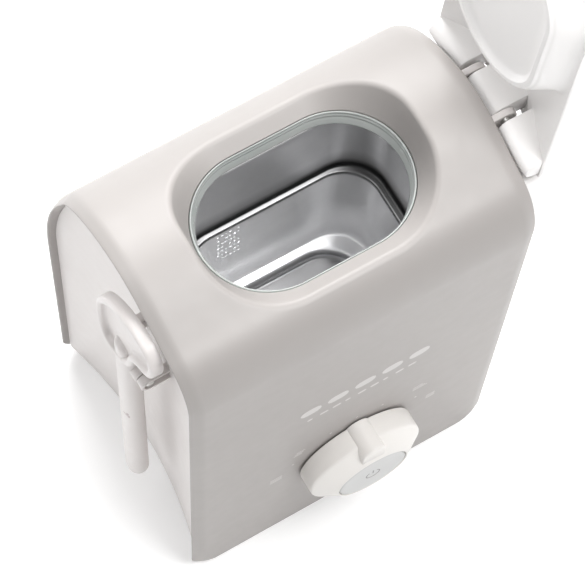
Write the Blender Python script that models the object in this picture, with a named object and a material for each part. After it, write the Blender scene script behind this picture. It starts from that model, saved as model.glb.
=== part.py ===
"""Steam-type bottle warmer: a saddle-topped body with a steel tank, a hinged lid and a side latch.

The design is drawn in millimetres from the body's front left bottom corner: X to the right,
Y to the back, Z up. Every mesh is written in metres, shifted so that the world origin is at
the bottom centre of the whole object with its lid standing open.
"""

import math

import bmesh
import bpy
from mathutils import Matrix, Vector

MM = 0.001

# Body
BODY_W = 150.0
BODY_TOP_Z = 260.0
WALL = 3.0
GAP = 0.3
SHELL_FOOT_Z = 2.5
FRONT_LEAN = 3.6
SHOULDER_Z = 222.0
BACK_FOOT_Y = 124.0
BACK_Y = 122.0
BACK_Z = 140.0
SIDE_FLARE = 1.8
EDGE_BAND = 4.0
EDGE_INSET = 1.6

# End panels
PANEL_INSET = 3.0
PANEL_HOLLOW = 8.9
PANEL_THICK = 2.5
PANEL_FOOT_Z = 5.8

# Base
PLATE_BOTTOM_Z = 2.8
PLATE_TOP_Z = 5.5
BASE_BOSS_R = 5.0
BASE_BOSS_TOP_Z = 24.0
FOOT_R = 7.0
BASE_SCREW_XY = [(26.0, 7.0), (124.0, 7.0), (26.0, 117.0), (124.0, 117.0)]
FOOT_XY = [(30.0, 22.0), (120.0, 22.0), (30.0, 102.0), (120.0, 102.0)]

# Mouth and tank
MOUTH_X = 76.0
MOUTH_Y = 47.0
RIM_HX = 49.6
RIM_HY = 36.8
RIM_R = 30.5
NECK_HX = 45.7
NECK_HY = 29.6
COLLAR_W = 3.4
COLLAR_Z = 238.5
NECK_Z = 241.5
FLANGE_Z = 233.0
FLANGE_R = 26.0
LEDGE_Z = 183.0
BASIN_Z = 126.0
SUMP_Z = 121.0
STEEL = 1.2
CLAMP_THICK = 4.5
TANK_SCREW_DX = 44.0
TANK_SCREW_DY = 32.0
TANK_BOSS_R = 3.6
TOP_SKIN = 1.2
SCREW_HOLE_R = 1.8
SCREW_SHANK_R = 1.4
PLATE_THICK = 6.0
TUBE_R = 3.0
UNDER_PLATE_Z = SUMP_Z - STEEL - PLATE_THICK - 2 * GAP

# Knob and its switch
KNOB_X = 78.0
KNOB_Z = 72.0
KNOB_R = 27.0
KNOB_WALL = 10.8
KNOB_DEPTH = 17.4
SHAFT_R = 5.5
SHAFT_BORE_R = 3.5
DISC_R = 16.2
BOARD_Y = 18.0

# Latch
LATCH_Y = 46.0
LATCH_PIN_X = 0.0
LATCH_PIN_Z = 174.0
EAR_SPREAD = 11.0
EAR_THICK = 2.8
STICK_X = -2.5
STICK_FOOT_Z = 36.0
STICK_TOP_Z = 197.0

# Lid, drawn closed and then stood up
HINGE_X = 158.0
HINGE_Z = 248.0
LID_OPEN_DEG = 94.0
LID_HALF = 36.5
LID_RISE = 0.6
LID_EDGE = 3.4
LID_CROWN = 7.0
LID_TAIL_X = 170.0
KNUCKLE_R = 4.8
LID_WIDE_X = 150.0
LID_END_X = -11.0
LID_POWER = 2.9
LIP_FOOT_Z = 240.0
PIN_R = 2.0
PIN_CLEAR = 0.08

# Hinge housing on the right end
HOUSING_X = 168.0
HOUSING_Y = (13.0, 81.0)
HOUSING_Z = (184.0, 233.0)
HOUSING_ROUND = 6.0
HOUSING_GAP = 2.4

# Cord gland
GLAND_X = 98.0
GLAND_Z = 22.0
GLAND_REACH = 4.0
GLAND_NECK_R = 5.1
GLAND_BORE_R = 3.3

# Extremes of the whole object, which put the origin at its bottom centre
LEFT_REACH = -7.5
LID_LEAN = math.radians(LID_OPEN_DEG - 90.0)
LID_BACK_RISE = BODY_TOP_Z + LID_RISE + LID_CROWN - HINGE_Z
LID_REACH = (HINGE_X - LID_END_X) * math.sin(LID_LEAN) + LID_BACK_RISE * math.cos(LID_LEAN)
RIGHT_REACH = HINGE_X + LID_REACH
KNOB_FACE_Y = -FRONT_LEAN * KNOB_Z / SHOULDER_Z
GLAND_FACE_Y = BACK_FOOT_Y + (BACK_Y - BACK_FOOT_Y) * GLAND_Z / BACK_Z
FRONT_REACH = KNOB_FACE_Y - KNOB_DEPTH
BACK_REACH = GLAND_FACE_Y + GLAND_REACH
SHIFT = Vector((-(LEFT_REACH + RIGHT_REACH) / 2, -(FRONT_REACH + BACK_REACH) / 2, 0.0))

ROUND = 32


# ---------------------------------------------------------------- materials and meshes


def material(name, colour, roughness, metallic=0.0, alpha=1.0):
    mat = bpy.data.materials.new(name)
    mat.use_nodes = True
    shader = mat.node_tree.nodes["Principled BSDF"]
    shader.inputs["Base Color"].default_value = (*colour, 1.0)
    shader.inputs["Roughness"].default_value = roughness
    shader.inputs["Metallic"].default_value = metallic
    shader.inputs["Alpha"].default_value = alpha
    return mat


def add_object(name, bm, mat=None, angle=35.0):
    """Turns a bmesh drawn in millimetres into a scene object in metres."""
    bmesh.ops.recalc_face_normals(bm, faces=bm.faces)
    bmesh.ops.scale(bm, vec=(MM, MM, MM), verts=bm.verts)
    mesh = bpy.data.meshes.new(name)
    bm.to_mesh(mesh)
    bm.free()
    obj = bpy.data.objects.new(name, mesh)
    bpy.context.scene.collection.objects.link(obj)
    if mat:
        mesh.materials.append(mat)
    mesh.shade_smooth()
    mesh.set_sharp_from_angle(angle=math.radians(angle))
    return obj


def combine(target, other, operation):
    """Joins, cuts or intersects target with other, which is used up."""
    mod = target.modifiers.new("combine", "BOOLEAN")
    mod.solver = "EXACT"
    mod.operation = operation
    mod.object = other
    bpy.context.view_layer.update()
    graph = bpy.context.evaluated_depsgraph_get()
    mesh = bpy.data.meshes.new_from_object(target.evaluated_get(graph))
    target.modifiers.remove(mod)
    old = target.data
    target.data = mesh
    mesh.name = target.name
    bpy.data.meshes.remove(old)
    bpy.data.objects.remove(other)
    return target


def join(target, other):
    return combine(target, other, "UNION")


def cut(target, other):
    return combine(target, other, "DIFFERENCE")


def keep_inside(target, other):
    return combine(target, other, "INTERSECT")


def pivot_at(obj, point):
    """Puts the object's origin at a point of the design and the object in its world place."""
    shift = Vector(point) * MM
    obj.data.transform(Matrix.Translation(-shift))
    obj.location = shift + SHIFT * MM
    return obj


def flare(obj):
    """Widens the body's ends upwards, as its moulding draft does, on flat triangles."""
    mid = BODY_W / 2 * MM
    bm = bmesh.new()
    bm.from_mesh(obj.data)
    bmesh.ops.triangulate(bm, faces=bm.faces)
    for v in bm.verts:
        v.co.x = mid + (v.co.x - mid) * (1 + SIDE_FLARE * v.co.z / (BODY_TOP_Z * mid))
    bm.to_mesh(obj.data)
    bm.free()
    return obj


# ---------------------------------------------------------------- shape helpers


def rounded_rect(hx, hy, r, steps=6):
    """Points round a rectangle of half sizes hx, hy with corner radius r."""
    r = min(r, hx, hy)
    points = []
    for k, (sx, sy) in enumerate([(1, 1), (-1, 1), (-1, -1), (1, -1)]):
        for i in range(steps + 1):
            a = math.radians(90 * (k + i / steps))
            points.append((sx * (hx - r) + r * math.cos(a), sy * (hy - r) + r * math.sin(a)))
    return points


def ring(hx, hy, r, z, cx=MOUTH_X, cy=MOUTH_Y, steps=6):
    return [(cx + x, cy + y, z) for x, y in rounded_rect(hx, hy, r, steps)]


def loft(rings, closed=False):
    """Skins equal rings in turn; open lofts get a cap at both ends."""
    bm = bmesh.new()
    rows = [[bm.verts.new(p) for p in r] for r in rings]
    pairs = list(zip(rows, rows[1:]))
    if closed:
        pairs.append((rows[-1], rows[0]))
    for a, b in pairs:
        for i in range(len(a)):
            j = (i + 1) % len(a)
            bm.faces.new((a[i], a[j], b[j], b[i]))
    if not closed:
        bm.faces.new(rows[0])
        bm.faces.new(rows[-1])
    return bm


def prism(outline, axis, lo, hi):
    """Extrudes a closed outline of (u, v) points along axis X, Y or Z."""
    place = {
        "X": lambda u, v, w: (w, u, v),
        "Y": lambda u, v, w: (u, w, v),
        "Z": lambda u, v, w: (u, v, w),
    }[axis]
    return loft([[place(u, v, w) for u, v in outline] for w in (lo, hi)])


def circle(cu, cv, r, count=ROUND):
    return [
        (cu + r * math.cos(2 * math.pi * i / count), cv + r * math.sin(2 * math.pi * i / count))
        for i in range(count)
    ]


def lathe(profile, x, y, z, axis, count=ROUND):
    """Turns a closed (radius, height) profile round a line along Y or Z."""
    rings = []
    for i in range(count):
        a = 2 * math.pi * i / count
        c, s = math.cos(a), math.sin(a)
        if axis == "Z":
            rings.append([(x + r * c, y + r * s, z + h) for r, h in profile])
        else:
            rings.append([(x + r * c, y - h, z + r * s) for r, h in profile])
    return loft(rings, closed=True)


def box(lo, hi):
    return prism([(lo[0], lo[1]), (hi[0], lo[1]), (hi[0], hi[1]), (lo[0], hi[1])], "Z", lo[2], hi[2])


def sweep(path, r, sides=10):
    """A round tube of radius r along a list of points."""
    rings = []
    for i, p in enumerate(path):
        p = Vector(p)
        ahead = Vector(path[min(i + 1, len(path) - 1)])
        behind = Vector(path[max(i - 1, 0)])
        along = (ahead - behind).normalized()
        side = along.cross(Vector((0, 0, 1)))
        if side.length < 1e-6:
            side = Vector((0, 1, 0))
        side.normalize()
        up = side.cross(along)
        turn = [2 * math.pi * k / sides for k in range(sides)]
        rings.append([p + side * r * math.cos(a) + up * r * math.sin(a) for a in turn])
    return loft(rings)


def bezier(a, b, c, d, steps):
    points = []
    for i in range(steps):
        t = i / steps
        s = 1 - t
        w = (s**3, 3 * s * s * t, 3 * s * t * t, t**3)
        points.append(tuple(w[0] * a[k] + w[1] * b[k] + w[2] * c[k] + w[3] * d[k] for k in (0, 1)))
    return points


def body_profile(foot_z=SHELL_FOOT_Z, steps=7):
    """The saddle section (y, z): up the front, over the crown and down the back."""
    lean = FRONT_LEAN
    top = BODY_TOP_Z
    half_way = SHOULDER_Z / 2
    points = [(-lean * foot_z / SHOULDER_Z, foot_z), (-lean / 2, half_way)]
    points += bezier((-lean, SHOULDER_Z), (-lean, 235.0), (2.0, 245.0), (12.0, 248.5), steps)
    points += bezier((12.0, 248.5), (22.0, 252.0), (34.0, 259.0), (46.0, top), steps)
    points += bezier((46.0, top), (60.0, top + 1.0), (85.0, 251.5), (98.0, 229.5), steps)
    points += bezier((98.0, 229.5), (101.3, 220.0), (120.2, 184.0), (BACK_Y, BACK_Z), steps)
    points += [(BACK_Y, BACK_Z), (BACK_FOOT_Y, foot_z)]
    return points


def inset(points, d, closed=False):
    """Moves a path sideways by d, to the right of its direction."""
    out = []
    n = len(points)
    for i, p in enumerate(points):
        a = Vector(points[i - 1]) if i or closed else Vector(p)
        b = Vector(points[(i + 1) % n]) if i < n - 1 or closed else Vector(p)
        along_in = (Vector(p) - a).normalized() if (Vector(p) - a).length else None
        along_out = (b - Vector(p)).normalized() if (b - Vector(p)).length else None
        along_in = along_in or along_out
        along_out = along_out or along_in
        mid = (along_in + along_out).normalized()
        normal = Vector((mid.y, -mid.x))
        stretch = max(0.5, normal.dot(Vector((along_in.y, -along_in.x))))
        out.append(tuple(Vector(p) + normal * d / stretch))
    return out


def crown_z(y):
    """Height of the body's outer skin over a y on its upper side."""
    path = [p for p in body_profile() if p[1] > 200.0]
    for (y0, z0), (y1, z1) in zip(path, path[1:]):
        if y0 <= y <= y1:
            return z0 + (z1 - z0) * (y - y0) / (y1 - y0)
    return path[0][1]


def panel_x(y):
    """Distance of the end panel's hollow face from the body's end plane."""
    half = (BACK_FOOT_Y - 2 * WALL) / 2
    mid = BACK_FOOT_Y / 2
    return PANEL_INSET + PANEL_HOLLOW * (1 - ((y - mid) / half) ** 2)


def panel_path(extra=0.0, steps=20):
    lo, hi = -4.0, BACK_Y + 4.0
    ys = [lo + (hi - lo) * i / steps for i in range(steps + 1)]
    return [(panel_x(y) + extra, y) for y in ys]


def core(offset, lo, hi, foot_z):
    """The body's section moved inwards by offset, as a solid bar from lo to hi along X."""
    return prism(inset(body_profile(foot_z), offset), "X", lo, hi)


# ---------------------------------------------------------------- body


def outer_shell(mat):
    outer = body_profile()
    edge = inset(outer, EDGE_INSET)
    inner = inset(outer, WALL)
    inner[0] = (inner[0][0], SHELL_FOOT_Z)
    inner[-1] = (inner[-1][0], SHELL_FOOT_Z)
    edge[0] = (edge[0][0], SHELL_FOOT_Z)
    edge[-1] = (edge[-1][0], SHELL_FOOT_Z)
    stations = [(0.0, edge), (EDGE_BAND, outer), (BODY_W - EDGE_BAND, outer), (BODY_W, edge)]
    rings = [[(x, y, z) for y, z in path + inner[::-1]] for x, path in stations]
    shell = add_object("outer_shell", loft(rings), mat)
    join(shell, mouth_collar())
    for x, y in BASE_SCREW_XY:
        post = prism(circle(x, y, BASE_BOSS_R, 20), "Z", PANEL_FOOT_Z, BASE_BOSS_TOP_Z)
        join(shell, add_object("boss", post))
    for x, y in tank_screw_places():
        join(shell, tank_boss(x, y))
    flare(shell)
    cut(shell, mouth_funnel())
    for x, y in BASE_SCREW_XY:
        drill(shell, x, y, 0.0, BASE_BOSS_TOP_Z - 6.0)
    for x, y in tank_screw_places():
        drill(shell, x, y, FLANGE_Z - 7.0, NECK_Z + 1.5)
    shaft_way = prism(circle(KNOB_X, KNOB_Z, SHAFT_R + 1.0), "Y", -10.0, 12.0)
    cut(shell, add_object("hole", shaft_way))
    back = BACK_FOOT_Y + 10.0
    cord_way = prism(circle(GLAND_X, GLAND_Z, GLAND_NECK_R + GAP, 24), "Y", back - 24.0, back)
    cut(shell, add_object("hole", cord_way))
    return pivot_at(shell, (0, 0, 0))


def drill(obj, x, y, low, high):
    """Cuts an upright screw hole."""
    return cut(obj, add_object("hole", prism(circle(x, y, SCREW_HOLE_R, 16), "Z", low, high)))


def tank_boss(x, y):
    """A screw post that hangs from the crown, its top kept inside the wall."""
    post = prism(circle(x, y, TANK_BOSS_R, 20), "Z", FLANGE_Z - 1.4, BODY_TOP_Z)
    inside = core(TOP_SKIN, 0.0, BODY_W, SHELL_FOOT_Z)
    return keep_inside(add_object("boss", post), add_object("core", inside))


def tank_screw_places():
    dx, dy = TANK_SCREW_DX, TANK_SCREW_DY
    return [(MOUTH_X + sx * dx, MOUTH_Y + sy * dy) for sx in (-1, 1) for sy in (-1, 1)]


def rim_ring(grow):
    """The rim's outline lying on the crown, grown outwards."""
    plan = rounded_rect(RIM_HX + grow, RIM_HY + grow, RIM_R + grow, 8)
    return [(MOUTH_X + x, MOUTH_Y + y, crown_z(MOUTH_Y + y)) for x, y in plan]


def carry_up(low, high, z):
    """The ring reached by running the lines from one ring to the next on to a height."""
    return [Vector(a).lerp(Vector(b), (z - a[2]) / (b[2] - a[2])) for a, b in zip(low, high)]


def mouth_collar():
    """The funnel's wall, from the crown down to the seat of the gasket."""
    hx, hy = NECK_HX + COLLAR_W, NECK_HY + COLLAR_W
    low = ring(hx, hy, 99, COLLAR_Z, steps=8)
    neck = ring(hx, hy, 99, NECK_Z, steps=8)
    beyond = carry_up(neck, rim_ring(COLLAR_W), BODY_TOP_Z + 8.0)
    wall = add_object("collar", loft([low, neck, beyond]))
    return keep_inside(wall, add_object("core", core(TOP_SKIN, 0.0, BODY_W, SHELL_FOOT_Z)))


def mouth_funnel():
    """The opening: a straight neck below and a sloping rim above."""
    low = ring(NECK_HX, NECK_HY, 99, COLLAR_Z - 8.0, steps=8)
    neck = ring(NECK_HX, NECK_HY, 99, NECK_Z, steps=8)
    beyond = carry_up(neck, rim_ring(0.0), BODY_TOP_Z + 8.0)
    return add_object("funnel", loft([low, neck, beyond]))


def end_panel(name, mat, side):
    """One hollowed end panel; side is -1 on the left, 1 on the right."""
    outline = panel_path() + panel_path(PANEL_THICK)[::-1]
    panel = add_object(name, prism(outline, "Z", PANEL_FOOT_Z, BODY_TOP_Z + 8.0), mat)
    keep_inside(panel, add_object("core", core(WALL + GAP, -5.0, 30.0, 0.0)))
    if side > 0:
        turn = Matrix.Translation((BODY_W * MM, 0, 0)) @ Matrix.Scale(-1, 4, (1, 0, 0))
        panel.data.transform(turn)
        panel.data.flip_normals()
    return flare(panel)


def ear(x0, x1, z, r, y, hole_r):
    """A rounded bracket ear from x0 in the panel out to its round end about x1, bored."""
    out = 1 if x1 > x0 else -1
    outline = [(x0, z - r), (x0, z + r)]
    for i in range(9):
        a = math.radians(90 - 180 * i / 8)
        outline.append((x1 + out * r * math.cos(a), z + r * math.sin(a)))
    piece = add_object("ear", prism(outline, "Y", y - EAR_THICK / 2, y + EAR_THICK / 2))
    bore = add_object("bore", prism(circle(x1, z, hole_r, 24), "Y", y - 5, y + 5))
    return cut(piece, bore)


def left_end_panel(mat):
    panel = end_panel("left_end_panel", mat, -1)
    for s in (-1, 1):
        y = LATCH_Y + s * EAR_SPREAD
        join(panel, ear(panel_x(y) + 1.2, LATCH_PIN_X, LATCH_PIN_Z, 4.2, y, PIN_R + PIN_CLEAR))
    return pivot_at(panel, (0, 0, 0))


def right_end_panel(mat):
    panel = end_panel("right_end_panel", mat, 1)
    for s in (-1, 1):
        y = MOUTH_Y + s * EAR_SPREAD
        root = BODY_W - panel_x(y) - 0.4
        join(panel, ear(root, HINGE_X, HINGE_Z, 4.6, y, PIN_R + PIN_CLEAR))
    return pivot_at(panel, (0, 0, 0))


def housing_outline(shrink):
    """The hinge housing in plan: one side fits the end panel's hollow, the other is rounded."""
    near, far = HOUSING_Y[0] + shrink, HOUSING_Y[1] - shrink
    out = HOUSING_X - shrink
    r = HOUSING_ROUND
    ys = [far + (near - far) * i / 10 for i in range(11)]
    points = [(BODY_W - panel_x(y) + HOUSING_GAP + shrink / 2, y) for y in ys]
    for k, (x, y) in enumerate([(out - r, near + r), (out - r, far - r)]):
        for i in range(6):
            a = math.radians(90 * (k - 1 + i / 5))
            points.append((x + r * math.cos(a), y + r * math.sin(a)))
    return points


def hinge_housing(mat):
    """The fixed block on the right end that the open lid stands over."""
    low, high = HOUSING_Z
    steps = [(4.0, low), (1.2, low + 2.0), (0.0, low + 8.0)]
    steps += [(0.0, high - 2.0), (0.6, high - 0.6), (2.0, high)]
    rings = [[(x, y, z) for x, y in housing_outline(shrink)] for shrink, z in steps]
    block = add_object("hinge_housing", loft(rings), mat)
    return pivot_at(block, (HOUSING_X, MOUTH_Y, low))


def base_plate(mat):
    side = [(x, y) for x, y in panel_path() if 2 * WALL < y < BACK_FOOT_Y - 2 * WALL]
    lo_y, hi_y = WALL + 0.6, BACK_FOOT_Y - WALL - 0.6
    left = [(panel_x(lo_y), lo_y)] + side + [(panel_x(hi_y), hi_y)]
    right = [(BODY_W - x, y) for x, y in left[::-1]]
    plate = add_object("base_plate", prism(left + right, "Z", PLATE_BOTTOM_Z, PLATE_TOP_Z), mat)
    for x, y in BASE_SCREW_XY:
        drill(plate, x, y, 0.0, 10.0)
    return pivot_at(plate, (0, 0, 0))


def feet(mat):
    for i, (x, y) in enumerate(FOOT_XY, 1):
        steps = [(FOOT_R - 1.0, 0.0), (FOOT_R, 0.8), (FOOT_R, 2.5)]
        rings = [[(x + r * u, y + r * v, z) for u, v in circle(0, 0, 1, 24)] for r, z in steps]
        pivot_at(add_object(f"foot_{i}", loft(rings), mat), (x, y, 0))


def screw(name, mat, x, y, head_z, shank_z, head_r=3.0):
    """A screw driven upwards: a domed head below and a plain shank above."""
    steps = [(head_r - 0.8, head_z), (head_r, head_z + 0.7), (head_r, head_z + 1.6)]
    steps += [(SCREW_SHANK_R, head_z + 1.6), (SCREW_SHANK_R, shank_z - 1.0), (0.6, shank_z)]
    rings = [[(x + r * u, y + r * v, z) for u, v in circle(0, 0, 1, 16)] for r, z in steps]
    return pivot_at(add_object(name, loft(rings), mat), (x, y, head_z))


def cord_gland(mat):
    """The grommet in the back wall that a mains lead would leave through."""
    face = GLAND_FACE_Y
    bore, neck, out = GLAND_BORE_R, GLAND_NECK_R, GLAND_REACH
    head = neck + 2.5
    profile = [(bore, -out), (head - 1.0, -out), (head, 1.2 - out), (head, -0.5)]
    profile += [(neck, -0.5), (neck, 5.0), (bore, 5.0)]
    gland = add_object("cord_gland", lathe(profile, GLAND_X, face, GLAND_Z, "Y", 24), mat)
    return pivot_at(gland, (GLAND_X, face, GLAND_Z))


# ---------------------------------------------------------------- tank and heating


def tank(mat):
    s = STEEL
    outer = [
        ring(32.4 + s, 17.4 + s, 99, SUMP_Z - s),
        ring(33.7 + s, 18.6 + s, 99, BASIN_Z - s),
        ring(39.2, 23.0, 16, BASIN_Z - s),
        ring(41.4 + s, 24.3 + s, 16, BASIN_Z + 3.0),
        ring(42.2 + s, 24.8 + s, 16, LEDGE_Z - 2.5),
        ring(46.2 + s, 27.4 + s, 18, LEDGE_Z - 1.0),
        ring(46.2 + s, 27.4 + s, 18, FLANGE_Z - s),
        ring(51.0, 34.5, FLANGE_R, FLANGE_Z - s),
        ring(51.0, 34.5, FLANGE_R, FLANGE_Z),
    ]
    inner = [
        ring(46.2, 27.4, 18, FLANGE_Z),
        ring(46.2, 27.4, 18, LEDGE_Z + 0.3),
        ring(42.2, 24.8, 16, LEDGE_Z - 1.2),
        ring(41.4, 24.3, 16, BASIN_Z + 3.0),
        ring(38.8, 22.6, 16, BASIN_Z),
        ring(33.7, 18.6, 99, BASIN_Z),
        ring(32.4, 17.4, 99, SUMP_Z),
    ]
    return pivot_at(add_object("tank", loft(outer + inner), mat), (MOUTH_X, MOUTH_Y, FLANGE_Z))


def tank_gasket(mat):
    """The stepped silicone ring between the tank's flange and the mouth's collar."""
    low, high = FLANGE_Z + GAP, COLLAR_Z - GAP
    rings = [
        ring(43.1, 27.6, 99, low),
        ring(49.7, 33.2, FLANGE_R - 1.0, low),
        ring(49.7, 33.2, FLANGE_R - 1.0, high),
        ring(NECK_HX - GAP, NECK_HY - GAP, 99, high),
        ring(NECK_HX - GAP, NECK_HY - GAP, 99, NECK_Z),
        ring(44.6, 28.6, 99, NECK_Z),
        ring(43.9, 28.1, 99, high),
        ring(43.1, 27.6, 99, low + 1.4),
    ]
    gasket = add_object("tank_gasket", loft(rings, closed=True), mat)
    return pivot_at(gasket, (MOUTH_X, MOUTH_Y, low))


def tank_clamp(mat):
    """The frame that pulls the tank's flange up against the gasket."""
    high = FLANGE_Z - STEEL - GAP
    low = high - CLAMP_THICK
    rings = [
        ring(47.8, 29.0, 19, low),
        ring(49.8, 37.2, 8, low),
        ring(49.8, 37.2, 8, high),
        ring(47.8, 29.0, 19, high),
    ]
    clamp = add_object("tank_clamp", loft(rings, closed=True), mat)
    for x, y in tank_screw_places():
        drill(clamp, x, y, low - 2.0, high + 2.0)
    return pivot_at(clamp, (MOUTH_X, MOUTH_Y, low))


def heating_plate(mat):
    high = SUMP_Z - STEEL - GAP
    low = high - PLATE_THICK
    rings = [ring(30.5, 15.5, 99, low), ring(31.5, 16.5, 99, low + 1.0), ring(31.5, 16.5, 99, high)]
    return pivot_at(add_object("heating_plate", loft(rings), mat), (MOUTH_X, MOUTH_Y, high))


def heating_element(mat):
    """A tubular element bent round under the plate, its two ends turned down."""
    z = UNDER_PLATE_Z - TUBE_R
    dx, bend = 16.0, 10.0
    left = [(-4.0, -bend, z - 9.0), (-4.0, -bend, z - 2.0), (-5.0, -bend, z - 0.4)]
    for i in range(9):
        a = math.radians(-90 - 180 * i / 8)
        left.append((-dx + bend * math.cos(a), bend * math.sin(a), z))
    half = [(MOUTH_X + x, MOUTH_Y + y, h) for x, y, h in left]
    path = half + [(2 * MOUTH_X - x, y, h) for x, y, h in half[::-1]]
    return pivot_at(add_object("heating_element", sweep(path, TUBE_R), mat), (MOUTH_X, MOUTH_Y, z))


def thermostat(mat):
    high = UNDER_PLATE_Z
    rings = [
        [(MOUTH_X + r * u, MOUTH_Y + r * v, z) for u, v in circle(0, 0, 1, 24)]
        for r, z in [(3.5, high - 9.0), (3.5, high - 6.0), (6.0, high - 6.0), (6.0, high)]
    ]
    return pivot_at(add_object("thermostat", loft(rings), mat), (MOUTH_X, MOUTH_Y, high))


def thermal_fuse(mat):
    high = UNDER_PLATE_Z
    bar = prism(circle(MOUTH_X - 12.0, high - 2.2, 2.2, 16), "Y", MOUTH_Y - 5.0, MOUTH_Y + 5.0)
    return pivot_at(add_object("thermal_fuse", bar, mat), (MOUTH_X - 12.0, MOUTH_Y, high - 2.2))


# ---------------------------------------------------------------- knob, switch and button


def control_board(mat):
    board = add_object("control_board", box((50.0, BOARD_Y, 44.0), (106.0, BOARD_Y + 1.6, 100.0)), mat)
    return pivot_at(board, (KNOB_X, BOARD_Y, KNOB_Z))


def rotary_switch(mat):
    """The ring-shaped switch that the knob's hollow shaft turns in."""
    depth = 11.0
    profile = [(5.6, 0.0), (13.0, 0.0), (13.0, depth), (5.6, depth)]
    ring_body = lathe(profile, KNOB_X, BOARD_Y - GAP, KNOB_Z, "Y", 28)
    return pivot_at(add_object("rotary_switch", ring_body, mat), (KNOB_X, BOARD_Y, KNOB_Z))


def push_switch(mat):
    low = BOARD_Y - GAP - 1.5
    body = box((KNOB_X - 3.0, low, KNOB_Z - 3.0), (KNOB_X + 3.0, BOARD_Y - GAP, KNOB_Z + 3.0))
    return pivot_at(add_object("push_switch", body, mat), (KNOB_X, low, KNOB_Z))


def control_knob(mat):
    """The round knob: upright wall, sloping face, a well for the button and a pointer rib."""
    face = KNOB_FACE_Y
    well = DISC_R + 0.4
    floor = 9.0
    profile = [(SHAFT_BORE_R, floor), (well, floor), (well, KNOB_DEPTH), (KNOB_R, KNOB_WALL)]
    profile += [(KNOB_R, 1.0), (SHAFT_R, 1.0), (SHAFT_R, -14.0), (SHAFT_BORE_R, -14.0)]
    knob = add_object("control_knob", lathe(profile, KNOB_X, face, KNOB_Z, "Y", 48), mat)
    half, low, high = 5.75, well + 1.0, 23.8
    outline = [(KNOB_X - half, KNOB_Z + low), (KNOB_X + half, KNOB_Z + low)]
    for i in range(13):
        a = math.radians(180 * i / 12)
        outline.append((KNOB_X + half * math.cos(a), KNOB_Z + high + half * math.sin(a)))
    rib = add_object("rib", prism(outline, "Y", face - 16.1, face - 1.0))
    join(knob, rib)
    return pivot_at(knob, (KNOB_X, face, KNOB_Z))


def power_button(mat):
    """The disc in the knob's well and the stem that reaches the push switch."""
    face = KNOB_FACE_Y
    top = KNOB_DEPTH - 0.4
    steps = [(DISC_R - 0.5, top), (DISC_R, top - 0.5), (DISC_R, top - 4.4), (3.2, top - 4.4), (3.2, -14.6)]
    rings = [[(KNOB_X + r * u, face - h, KNOB_Z + r * v) for u, v in circle(0, 0, 1, 40)] for r, h in steps]
    return pivot_at(add_object("power_button", loft(rings), mat), (KNOB_X, face, KNOB_Z))


# ---------------------------------------------------------------- latch


def latch_pin(mat):
    half = EAR_SPREAD + EAR_THICK / 2 + 1.0
    pin = prism(circle(LATCH_PIN_X, LATCH_PIN_Z, PIN_R, 24), "Y", LATCH_Y - half, LATCH_Y + half)
    return pivot_at(add_object("latch_pin", pin, mat), (LATCH_PIN_X, LATCH_Y, LATCH_PIN_Z))


def hood_outline():
    """The latch's hood seen from the left end, as (y, z): a leaf that falls to the back."""
    points = bezier((18.0, 226.0), (15.5, 236.0), (15.5, 246.0), (25.0, 247.0), 5)
    points += bezier((25.0, 247.0), (40.0, 249.0), (61.0, 226.0), (62.0, 208.0), 6)
    points += bezier((62.0, 208.0), (63.0, 196.0), (63.0, 184.0), (57.0, 181.0), 4)
    points += [(57.0, 181.0), (46.0, 181.0), (36.0, 190.0), (33.0, 212.0), (26.0, 221.0)]
    return points


def latch_lever(mat):
    """The stick, the hood above it and the barrel that turns on the pin."""
    stick_rings = []
    ends = [(0.0, 0.45), (1.2, 0.75), (3.4, 0.95), (6.0, 1.0)]
    heights = [(STICK_FOOT_Z + d, k) for d, k in ends] + [(STICK_TOP_Z - d, k) for d, k in ends[::-1]]
    for z, k in heights:
        stick_rings.append(ring(4.6 * k, 5.6 * k, 4.5 * k, z, STICK_X, LATCH_Y, 4))
    lever = add_object("latch_lever", loft(stick_rings), mat)
    hood = add_object("hood", prism(hood_outline(), "X", LEFT_REACH, -2.1))
    recess = inset(hood_outline(), 3.2, closed=True)
    cut(hood, add_object("recess", prism(recess, "X", LEFT_REACH - 2, -4.6)))
    join(lever, hood)
    barrel_half = EAR_SPREAD - EAR_THICK / 2 - GAP
    round_section = circle(LATCH_PIN_X, LATCH_PIN_Z, KNUCKLE_R, 24)
    barrel = prism(round_section, "Y", LATCH_Y - barrel_half, LATCH_Y + barrel_half)
    join(lever, add_object("barrel", barrel))
    bore = prism(circle(LATCH_PIN_X, LATCH_PIN_Z, PIN_R + PIN_CLEAR, 24), "Y", 20.0, 75.0)
    cut(lever, add_object("bore", bore))
    return pivot_at(lever, (LATCH_PIN_X, LATCH_Y, LATCH_PIN_Z))


# ---------------------------------------------------------------- lid


def lid_half_width(x):
    """Half the closed lid's width at x: full at the hinge, easing in to a round free end."""
    reach = (LID_WIDE_X - x) / (LID_WIDE_X - LID_END_X)
    if reach <= 0:
        return LID_HALF
    return LID_HALF * max(0.0, 1 - reach**LID_POWER) ** (1 / LID_POWER)


def lid_outline(count=20):
    """The closed lid in plan, as (x, y)."""
    near = []
    for i in range(count + 1):
        x = LID_END_X + (LID_WIDE_X - LID_END_X) * (1 - math.cos(math.pi / 2 * i / count))
        near.append((x, MOUTH_Y - lid_half_width(x)))
    near += [(LID_TAIL_X - 3.0, MOUTH_Y - LID_HALF), (LID_TAIL_X, MOUTH_Y - LID_HALF + 4.0)]
    far = [(x, 2 * MOUTH_Y - y) for x, y in near[:0:-1]]
    return near + far


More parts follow.
